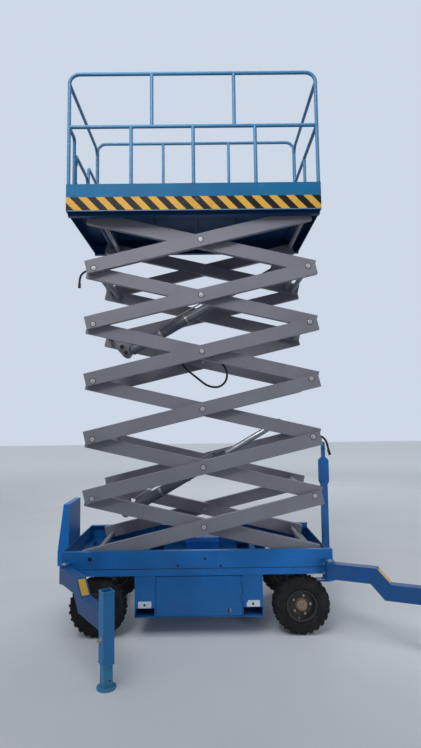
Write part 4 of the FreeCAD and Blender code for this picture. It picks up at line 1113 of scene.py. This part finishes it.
@dataclass
class Hoses:
    """The oil hoses that show between and beside the arms."""

    diameter: float = 0.018
    plane: float = -0.360
    arm_face: float = -0.3745
    clamped_way: Triple = (0.94, 0, -0.25)
    sleeve: Profile = ((0.001, -0.018), (0.0025, -0.016), (0.0025, 0.008), (0, 0.010), (0, 0.014))
    nut: Profile = ((0.004, 0.013), (0.004, 0.024), (0.002, 0.026), (-0.002, 0.026), (-0.002, 0.018))
    saddle: Profile = ((0, -0.008), (0.003, -0.007), (0.003, 0.007), (0, 0.008))

    def cord(self, name: str, points: Sequence[Triple], body: str) -> None:
        """Make one hose as a smooth open spline.

        Args:
            name: The hose's name.
            points: Its control points.
            body: What carries it.
        """
        data = bpy.data.curves.new(name, "CURVE")
        data.dimensions = "3D"
        line = data.splines.new("NURBS")
        line.points.add(len(points) - 1)
        for item, point in zip(line.points, points):
            item.co = (*point, 1.0)
        line.order_u = 3
        line.use_endpoint_u = True
        line.resolution_u = 12
        bare = linked(name + "_line", data)
        path = bpy.data.meshes.new_from_object(bare.evaluated_get(bpy.context.evaluated_depsgraph_get()))
        places = [corner.co.copy() for corner in path.vertices]
        length = sum((b - a).length for a, b in zip(places, places[1:]))
        bpy.data.objects.remove(bare)
        bpy.data.meshes.remove(path)
        data.bevel_depth = self.diameter / 2
        data.bevel_resolution = 4
        data.use_fill_caps = True
        data.materials.append(material(HOSE))
        obj = linked(name, data)
        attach(obj, body)
        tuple(points[0])
        log.info("%s: hose of %.3f m on %s", name, length, body)

    def fitting(self, name: str, at: Triple, way: Triple, body: str) -> Object:
        """Make a crimped hose end with its nut.

        Args:
            name: The fitting's name.
            at: Where the hose ends.
            way: The direction out of the hose.
            body: What carries it.

        Returns:
            The fitting.
        """
        parts = [turned([(0, shape[0][1]), *grown(self.diameter / 2, shape), (0, shape[-1][1])], facing(way, at), steps)
                 for shape, steps in ((self.sleeve, 18), (self.nut, 6))]
        return piece(name, joined(parts), FITTING, body)

    def build(self) -> None:
        """Make the loop under the third crossing and the two short ends at the arm joints."""
        loop = [(x, self.plane, z) for x, z in (
            (-0.240, 2.306), (-0.160, 2.262), (-0.100, 2.128), (0.010, 2.042), (0.098, 1.968), (0.205, 1.958),
            (0.268, 2.034), (0.252, 2.130), (0.190, 2.190), (0.110, 2.238))]
        self.cord("oil_hose_loop", loop, "inner_4")
        self.clamps("hose_clamps", ((-0.225, 2.298), (0.125, 2.229)), "inner_4")
        left_end = (-0.981, -0.400, 2.842)
        left = self.fitting("hose_end_left", left_end, (-0.016, 0, -1), "inner_5")
        self.cord("oil_hose_left", [(-0.899, -0.400, 2.964), (-0.9207, -0.400, 2.964), (-0.9583, -0.400, 2.9423),
                                    (-0.980, -0.400, 2.9047), left_end], "inner_5")
        right_end = (1.094, -0.400, 1.413)
        right = self.fitting("hose_end_right", right_end, (0.3, 0, -1), "inner_3")
        self.cord("oil_hose_right", [(1.014, -0.400, 1.545), (1.042, -0.400, 1.540), (1.076, -0.400, 1.502),
                                     (1.087, -0.400, 1.450), right_end], "inner_3")

    def clamps(self, name: str, places: Sequence[tuple[float, float]], body: str) -> None:
        """Make the saddle clamps that hold a hose to an arm's inner face.

        Args:
            name: The piece's name.
            places: X and Z of each clamp.
            body: What carries them.
        """
        made = []
        for x, z in places:
            made.append(slab(rounded(0.034, 0.018, 0.004), 0.006, facing(ACROSS, (x, self.arm_face, z)), 0.001))
            made.append(turned(grown(self.diameter / 2, self.saddle), facing(self.clamped_way, (x, self.plane, z)),
                               20, ring=True))
        piece(name, joined(made), ZINC, body)


@dataclass
class Platform:
    """The tread plate, the railings' weld collars and the thin rod under the deck."""

    floor: float = 3.535
    sheet: float = 0.0012
    margin: tuple[float, float] = (0.02, 0.09)
    bare_edge: float = 0.06
    lug: Profile = ((-0.014, 0), (-0.006, -0.0028), (0.006, -0.0028), (0.014, 0), (0.006, 0.0028), (-0.006, 0.0028))
    lug_height: float = 0.0022
    toe_top: float = 3.648
    post: tuple[float, float] = (1.040, 0.559)
    tube_radius: float = 0.015
    collar: Profile = ((-0.001, 0), (0.004, 0), (0.0032, 0.0028), (0, 0.005), (-0.001, 0.005))

    def build(self) -> None:
        """Make the platform's trim."""
        low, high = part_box("deck_frame")
        length, width = high.x - low.x - self.margin[0], high.y - low.y - self.margin[1]
        lugs = TREAD_PLATE.run(slab(self.lug, self.lug_height, bevel=0.0006), FLOOR_PLATE,
                               Length=length - self.bare_edge, Width=width - self.bare_edge, Columns=62, Rows=32,
                               Height=self.floor)
        sheet = slab(rounded(length, width, 0.004), self.sheet, Matrix.Translation((0, 0, self.floor)))
        piece("tread_plate", joined((sheet, lugs)), FLOOR_PLATE, "platform")
        self.collars()
        self.prop()

    def collars(self) -> None:
        """Make the weld collars at the posts' feet."""
        x, y = self.post
        feet = [(share * x, side.value * y) for side in Side for share in (-1, -0.5, 0, 0.5, 1)] + [(x, 0)]
        collar = turned(grown(self.tube_radius, self.collar), steps=24, ring=True)
        rings = spread(collar, [((*foot, self.toe_top), (0, 0, 1)) for foot in feet], RAIL, 31)
        piece("post_welds", rings, RAIL, "platform")

    def prop(self) -> None:
        """Make the thin rod clipped slantwise under the deck."""
        top, foot, hook = Vector((-0.775, -0.300, 3.405)), Vector((-0.690, -0.300, 3.215)), Vector((0, 0.03, 0.004))
        path = spline([top + hook, top, top * 0.5 + foot * 0.5, foot, foot + Vector((0.004, 0.03, -0.004))], 6)
        piece("deck_prop", tube(path, 0.005), ZINC, "platform")


@dataclass
class Corner:
    """What stands at one corner of the machine."""

    end: End
    side: Side
    name: str = field(init=False)

    def __post_init__(self) -> None:
        """Name the corner."""
        self.name = f"{self.end.name.lower()}_{self.side.name.lower()}"


@dataclass
class Wheel(Corner):
    """A lugged tyre that replaces the plain one, and the nuts and valve on its rim."""

    lug_count: int = 25
    lug_skew: float = 0.13
    lug_half_width: float = 0.049
    stud_circle: float = 0.071
    stud_face: float = 0.0258
    valve_at: Triple = (-0.022, 0.023, -0.096)
    carcass: Profile = ((0.112, 0.046), (0.1215, 0.0505), (0.1255, 0.0545), (0.131, 0.0575), (0.1335, 0.0598),
                        (0.1365, 0.0598), (0.139, 0.0608), (0.158, 0.0638), (0.1605, 0.0648), (0.1635, 0.0648),
                        (0.166, 0.0640), (0.184, 0.0630), (0.199, 0.0592), (0.2095, 0.0520), (0.2155, 0.0400),
                        (0.2178, 0.0200))
    crown: tuple[float, float] = (0.2182, 0.0)
    lug_stations: Sequence[Profile] = (
        ((0.003, 0.215), (0.003, 0.2278)), ((0.028, 0.213), (0.028, 0.2274)), ((0.045, 0.208), (0.0475, 0.2235)),
        ((0.055, 0.198), (0.0610, 0.2105)), ((0.0585, 0.184), (0.0646, 0.1880)))
    stud: Profile = ((0, 0.011), (0.005, 0.011), (0.005, 0.018), (0.004, 0.0195), (0, 0.0195))
    valve: Profile = ((0, 0), (0.0055, 0), (0.0045, 0.010), (0.0045, 0.020), (0.0055, 0.021), (0.0055, 0.031),
                      (0.004, 0.033), (0, 0.033))

    def lug(self) -> Mesh:
        """Make one pair of slanted lugs, left and right of the middle.

        Returns:
            The mesh, on top of the wheel.
        """
        shell = Shell()
        for sign, start in ((1, 0.0), (-1, math.pi / self.lug_count)):
            rings = []
            for k, (inner, outer) in enumerate(self.lug_stations):
                middle = start + self.lug_skew * k / (len(self.lug_stations) - 1)
                ring = []
                for (y, radius), shift in ((inner, -1.15), (outer, -0.85), (outer, 0.85), (inner, 1.15)):
                    angle = middle + shift * self.lug_half_width * (0.75 + 0.12 * k)
                    ring.append((radius * math.sin(angle), sign * y, radius * math.cos(angle)))
                rings.append(shell.corners(ring))
            shell.skin(rings, capped=True)
        return shell.finish()

    def build(self) -> None:
        """Make the tyre, the rim nuts and the valve."""
        body = f"wheel_{self.name}"
        centre = middle_of(f"tyre_{self.name}")
        lugs = AROUND_AXLE.run(self.lug(), RUBBER, Count=self.lug_count, Centre=tuple(centre), Phase=0.1)
        mirrored = [(radius, -y) for radius, y in reversed(self.carcass)]
        carcass = turned([*self.carcass, self.crown, *mirrored], facing(ACROSS, centre), 56, ring=True)
        tyre = piece(f"lugged_tyre_{self.name}", joined((carcass, lugs)), RUBBER, body)
        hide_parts(f"tyre_{self.name}")
        nut = joined((hex_bolt(0.0085, 0.010, 0.010, 0.002), turned(self.stud, steps=14)))
        nut.transform(self.side.wall(0, self.stud_face, self.stud_circle))
        nuts = AROUND_AXLE.run(nut, PIN, Count=5, Centre=tuple(centre), Phase=0.25)
        piece(f"rim_nuts_{self.name}", nuts, PIN, body)
        valve = turned(self.valve, Matrix.Translation(centre) @ self.side.wall(*self.valve_at), 12)
        piece(f"tyre_valve_{self.name}", valve, ZINC, body)


@dataclass
class Outrigger(Corner):
    """The yellow strip, leg bands and clamp of one outrigger."""

    reach: float = 0.815
    half_side: float = 0.038
    strip_start: Triple = (0.353, 0, 0.573)
    strip_stop: Triple = (0.4525, 0, 0.466)
    bands: tuple[float, float] = (0.594, 0.151)
    band_height: float = 0.008
    band_width: float = 0.003
    clamp_height: float = 0.300
    clamp_stem: Profile = ((0, 0.012), (0.007, 0.012), (0.007, 0.026), (0, 0.028))

    def frame_of_arm(self) -> Matrix:
        """Find the placing of the arm.

        Returns:
            X along it from its pin, Z up.
        """
        pin = joint_point(f"swing_{self.name}") * Vector((1, 1, 0))
        along = (middle_of(f"outrigger_leg_{self.name}") * Vector((1, 1, 0)) - pin).normalized()
        return axes_at(pin, along, UP.cross(along), UP)

    def band(self, placing: Matrix) -> Mesh:
        """Make a band round the leg's tube.

        Args:
            placing: The leg's axis at the band's lower edge.

        Returns:
            The closed mesh.
        """
        wide, narrow = (2 * (self.half_side + step) for step in (self.band_width, -0.0005))
        outer, inner = rounded(wide, wide, 0.006), rounded(narrow, narrow, 0.004)
        shell = Shell()
        rings = [shell.corners(placing @ Vector((x, y, z)) for x, y in outline) for outline, z in (
            (outer, 0), (outer, self.band_height), (inner, self.band_height), (inner, 0))]
        shell.skin(rings + rings[:1])
        return shell.finish()

    def build(self) -> None:
        """Make the outrigger's trim."""
        place, body = self.frame_of_arm(), f"outrigger_arm_{self.name}"
        start, stop = Vector(self.strip_start), Vector(self.strip_stop)
        along = (stop - start).normalized()
        normal = along.cross(ACROSS)
        normal = normal if normal.z > 0 else -normal
        strip = slab(rounded(0.124, 0.052, 0.003), 0.0015,
                     place @ axes_at(start.lerp(stop, 0.52), along, normal.cross(along), normal), 0.0004)
        piece(f"yellow_strip_{self.name}", strip, YELLOW, body)
        leg = place @ Matrix.Translation((self.reach, 0, 0))
        bands = joined(self.band(leg @ Matrix.Translation((0, 0, z))) for z in self.bands)
        piece(f"leg_bands_{self.name}", bands, FOOT, body)
        clamp = joined((hex_bolt(0.012, 0.010, 0.019, 0.003), turned(self.clamp_stem, steps=16)))
        clamp.transform(facing(place.to_3x3() @ -ACROSS, leg @ Vector((0, -self.half_side, self.clamp_height))))
        piece(f"leg_clamp_{self.name}", clamp, ZINC, body)


@dataclass
class Chassis:
    """Bolts, caps, plates, marks and painted shade on the base and its box, and the cabinet's lid and lock."""

    face: float = 0.5325
    box_face: float = 0.528
    pivot: tuple[float, float] = (-0.846, 0.606)
    plugs: Sequence[tuple[float, float]] = ((-0.154, 0.549), (0.0585, 0.6006), (0.183, 0.5446))
    seam_rear: float = -0.905
    seam_front: float = 0.988
    seam_z: float = 0.527
    lid_lean: float = 0.0465
    lid_foot: float = 0.620
    lid_rise: float = 0.380
    pivot_ring: Profile = ((0.0175, 0), (0.030, 0), (0.030, 0.0018), (0.0285, 0.0028), (0.019, 0.0028),
                           (0.0175, 0.0018))
    pivot_hole_shade: Profile = ((0, 0), (0.0172, 0), (0.0172, 0.0006), (0, 0.0006))
    plug: Profile = ((0, 0), (0.010, 0), (0.0095, 0.0012), (0.006, 0.0016), (0, 0.0008))
    pin_cap: Profile = ((0, 0), (0.021, 0), (0.021, 0.005), (0.019, 0.007), (0.011, 0.007), (0.010, 0.011),
                        (0.006, 0.013), (0, 0.013))
    stud: Profile = ((0, 0.001), (0.010, 0.001), (0.009, 0.0024), (0, 0.003))
    knob: Profile = ((0, 0.002), (0.017, 0.002), (0.017, 0.006), (0.013, 0.009), (0, 0.010))

    def build(self) -> None:
        """Make the chassis trim."""
        self.web_marks()
        self.seams()
        self.mount_bolts()
        self.labels()
        self.door_pull()
        self.cabinet_trim()

    def web_marks(self) -> None:
        """Make the bright ring round each pivot shaft's end, a dark disc of painted shade for the hole inside it, and
        the small plugged holes beside it.
        """
        rings, plugs = [], []
        for side in Side:
            place = side.wall(self.pivot[0], self.face, self.pivot[1])
            rings.append(turned(self.pivot_ring, place, 32, ring=True))
            # Dark disc inside the ring: painted shade of the pivot's hole.
            plugs.append(turned(self.pivot_hole_shade, place, 28))
            plugs += [turned(self.plug, side.wall(x, self.face, z), 18) for x, z in self.plugs]
        piece("pivot_rings", joined(rings), CHASSIS, "base")
        piece("web_plugs", joined(plugs), MARK_AND_SHADE, "base")

    def seams(self) -> None:
        """Make the dark line of painted shade in the crease between each side rail and the tube under it."""
        # A thin near-black strip on each web: painted shade in the crease, not a real gap.
        outline = rounded(self.seam_front - self.seam_rear, 0.006, 0.002)
        made = [slab(outline, 0.0006, side.wall((self.seam_rear + self.seam_front) / 2, self.face, self.seam_z))
                for side in Side]
        piece("rail_seams", joined(made), SEAM_SHADE, "base")

    def mount_bolts(self) -> None:
        """Make the bolts of the outriggers' plates and the caps of their pins."""
        places = [side.spot(end.value * x, 0.5405, z)
                  for end in End for side in Side for x in (0.998, 1.054) for z in (0.478, 0.552)]
        bolts = spread(hex_bolt(0.0085, 0.006, 0.012), places, ZINC, 41)
        piece("mount_bolts", bolts, ZINC, "base")
        caps = [((end.value * 1.030, side.value * 0.585, 0.585), (0, 0, 1)) for end in End for side in Side]
        piece("outrigger_pin_caps", spread(turned(self.pin_cap, steps=24), caps, ZINC, 42), ZINC, "base")

    def labels(self) -> None:
        """Make the blank pale plates over the fork pockets, each with a dark stud in its middle."""
        plates, studs = [], []
        for side in Side:
            for x in (-0.4155, 0.4345):
                plates.append(slab(rounded(0.103, 0.050, 0.004), 0.0012, side.wall(x, self.box_face, 0.2535), 0.0004))
                studs.append(turned(self.stud, side.wall(x - 0.002, self.box_face, 0.2510), 20))
        piece("box_labels", joined(plates), LABEL, "base")
        piece("label_studs", joined(studs), MARK_AND_SHADE, "base")

    def door_pull(self) -> None:
        """Make the small pull of the door and, beside it, a dark sheet of painted shade for the slot."""
        pull = slab(rounded(0.008, 0.030, 0.002), 0.003, Side.RIGHT.wall(0.256, self.box_face, 0.204), 0.0008)
        piece("door_pull", pull, ZINC, "door")
        # A dark sheet with no recess behind it: painted shade of the slot.
        slot = slab(rounded(0.008, 0.034, 0.002), 0.0008, Side.RIGHT.wall(0.240, self.box_face, 0.204))
        piece("door_slot", slot, MARK_AND_SHADE, "door")

    def cabinet_trim(self) -> None:
        """Make the cabinet's lid and lock on its leaning face."""
        slope = Vector((self.lid_lean, 0, self.lid_rise))
        normal = slope.cross(ACROSS).normalized()
        normal = normal if normal.x < 0 else -normal
        foot = Vector((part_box("control_cabinet")[0].x, middle_of("control_cabinet").y, self.lid_foot))
        place = axes_at(foot + 0.55 * slope, -ACROSS, slope.normalized(), normal)
        lid = slab(rounded(0.320, 0.270, 0.012), 0.003, place, 0.001)
        piece("cabinet_lid", lid, CABINET, "base")
        knob = turned(self.knob, place @ Matrix.Translation((0.135, 0, 0)), 24)
        piece("cabinet_lock", knob, ZINC, "base")


# ---------------------------------------------------------------- the studio


@dataclass
class Studio:
    """The pale floor, soft light and the camera."""

    position: Triple = (0.0996, -4.6984, 1.7046)
    pitch: float = 0.0850
    yaw: float = -0.0052
    roll: float = -0.0124
    focal_pixels: float = 515.2
    long_side: int = 748
    sensor: float = 36.0
    view_limit: float = 100.0
    backdrop: Colour = srgb(206, 216, 230)
    sky: Colour = (0.86, 0.93, 1.0, 1.0)
    sky_strength: float = 0.29
    floor_size: float = 60.0
    floor_depth: float = 0.0105
    far_glow: Colour = (0.24, 0.26, 0.28, 1.0)

    def camera(self) -> None:
        """Set the camera where the photograph was taken from."""
        ahead = Vector((-math.sin(self.yaw), math.cos(self.yaw), 0))
        right = Vector((math.cos(self.yaw), math.sin(self.yaw), 0))
        forward = math.cos(self.pitch) * ahead + math.sin(self.pitch) * UP
        above = -math.sin(self.pitch) * ahead + math.cos(self.pitch) * UP
        across = math.cos(self.roll) * right + math.sin(self.roll) * above
        top = -math.sin(self.roll) * right + math.cos(self.roll) * above
        data = bpy.data.cameras.new("camera")
        data.sensor_width = self.sensor
        data.lens = self.sensor * self.focal_pixels / self.long_side
        data.clip_end = self.view_limit
        obj = linked("camera", data)
        obj.matrix_world = axes_at(Vector(self.position), across, top, -forward)
        bpy.context.scene.camera = obj

    def floor(self) -> None:
        """Lay the floor, which glows a little far away for the rays that show the background."""
        surface = Surface("studio_floor")
        x, y, _ = surface.axes()
        far = distance(x, y).smooth(4.0, 16.0) * surface.background_seen()
        surface.feed(surface.shader.inputs["Emission Color"], surface.mix(far, (0, 0, 0, 1), self.far_glow))
        surface.feed(surface.shader.inputs["Emission Strength"], 1.0)
        grain = surface.clouds(1.4, 4.0).smooth(0.2, 0.8)
        made = surface.finish(surface.mix(grain, srgb(222, 225, 230), srgb(226, 229, 233)), 0.85)
        mesh = slab(rounded(self.floor_size, self.floor_size, 4), 0.01, Matrix.Translation((0, 0, -self.floor_depth)))
        mesh.materials.append(made)
        linked("studio_floor", mesh)

    def world(self) -> None:
        """Light the room evenly, with the pale backdrop where the background shows."""
        world = bpy.data.worlds.new("studio_world")
        bpy.context.scene.world = world
        world.use_nodes = True
        graph = Graph(world.node_tree)
        light = graph.node("ShaderNodeBackground", sockets={"Color": self.sky, "Strength": self.sky_strength})
        backdrop = graph.node("ShaderNodeBackground", sockets={"Color": self.backdrop, "Strength": 1.0})
        mixed = graph.node("ShaderNodeMixShader", sockets={0: graph.background_seen(), 1: light, 2: backdrop})
        graph.node("ShaderNodeOutputWorld", sockets={"Surface": mixed})

    def lamp(self, name: str, at: Triple, aim: Triple, size: float, power: float, colour: Triple,
             spread: float = 180.0) -> None:
        """Hang one soft lamp.

        Args:
            name: The lamp's name.
            at, aim: Where it is and what it looks at.
            size: The side of its square.
            power: Its power in watts.
            colour: Its tint.
            spread: How wide its light fans out, in degrees.
        """
        data = bpy.data.lights.new(name, "AREA")
        data.shape = "SQUARE"
        data.size = size
        data.energy = power
        data.spread = math.radians(spread)
        data.color = colour
        linked(name, data).matrix_world = facing(Vector(at) - Vector(aim), at)

    def build(self) -> None:
        """Set up the whole studio."""
        bpy.context.scene.view_settings.view_transform = "Standard"
        self.camera()
        self.floor()
        self.world()
        self.lamp("sky_lamp", (-2.0, -3.5, 9.5), (0, 0, 2.0), 7.0, 300.0, (0.95, 0.98, 1.0))
        self.lamp("front_lamp", (-1.8, -6.0, 7.6), (-0.1, 0, 4.5), 2.5, 58.0, (1.0, 0.99, 0.97), 60.0)
        self.lamp("low_lamp", (3.6, -3.4, 1.0), (1.6, -0.4, 0.4), 1.2, 5.0, (0.97, 0.99, 1.0), 50.0)
        self.lamp("back_lamp", (1.5, 8.0, 6.0), (0, 0, 2.0), 6.0, 150.0, (0.97, 0.98, 1.0))


def main() -> None:
    """Build the studio and the machine's pieces in order."""
    Studio().build()
    Hoses().build()
    Finishes().dress()
    ScissorStack().build()
    for which in ("lower", "upper"):
        LiftCylinder(which).build()
    Platform().build()
    Chassis().build()
    for end in End:
        for side in Side:
            Wheel(end, side).build()
            Outrigger(end, side).build()


if __name__ == "__main__":
    main()
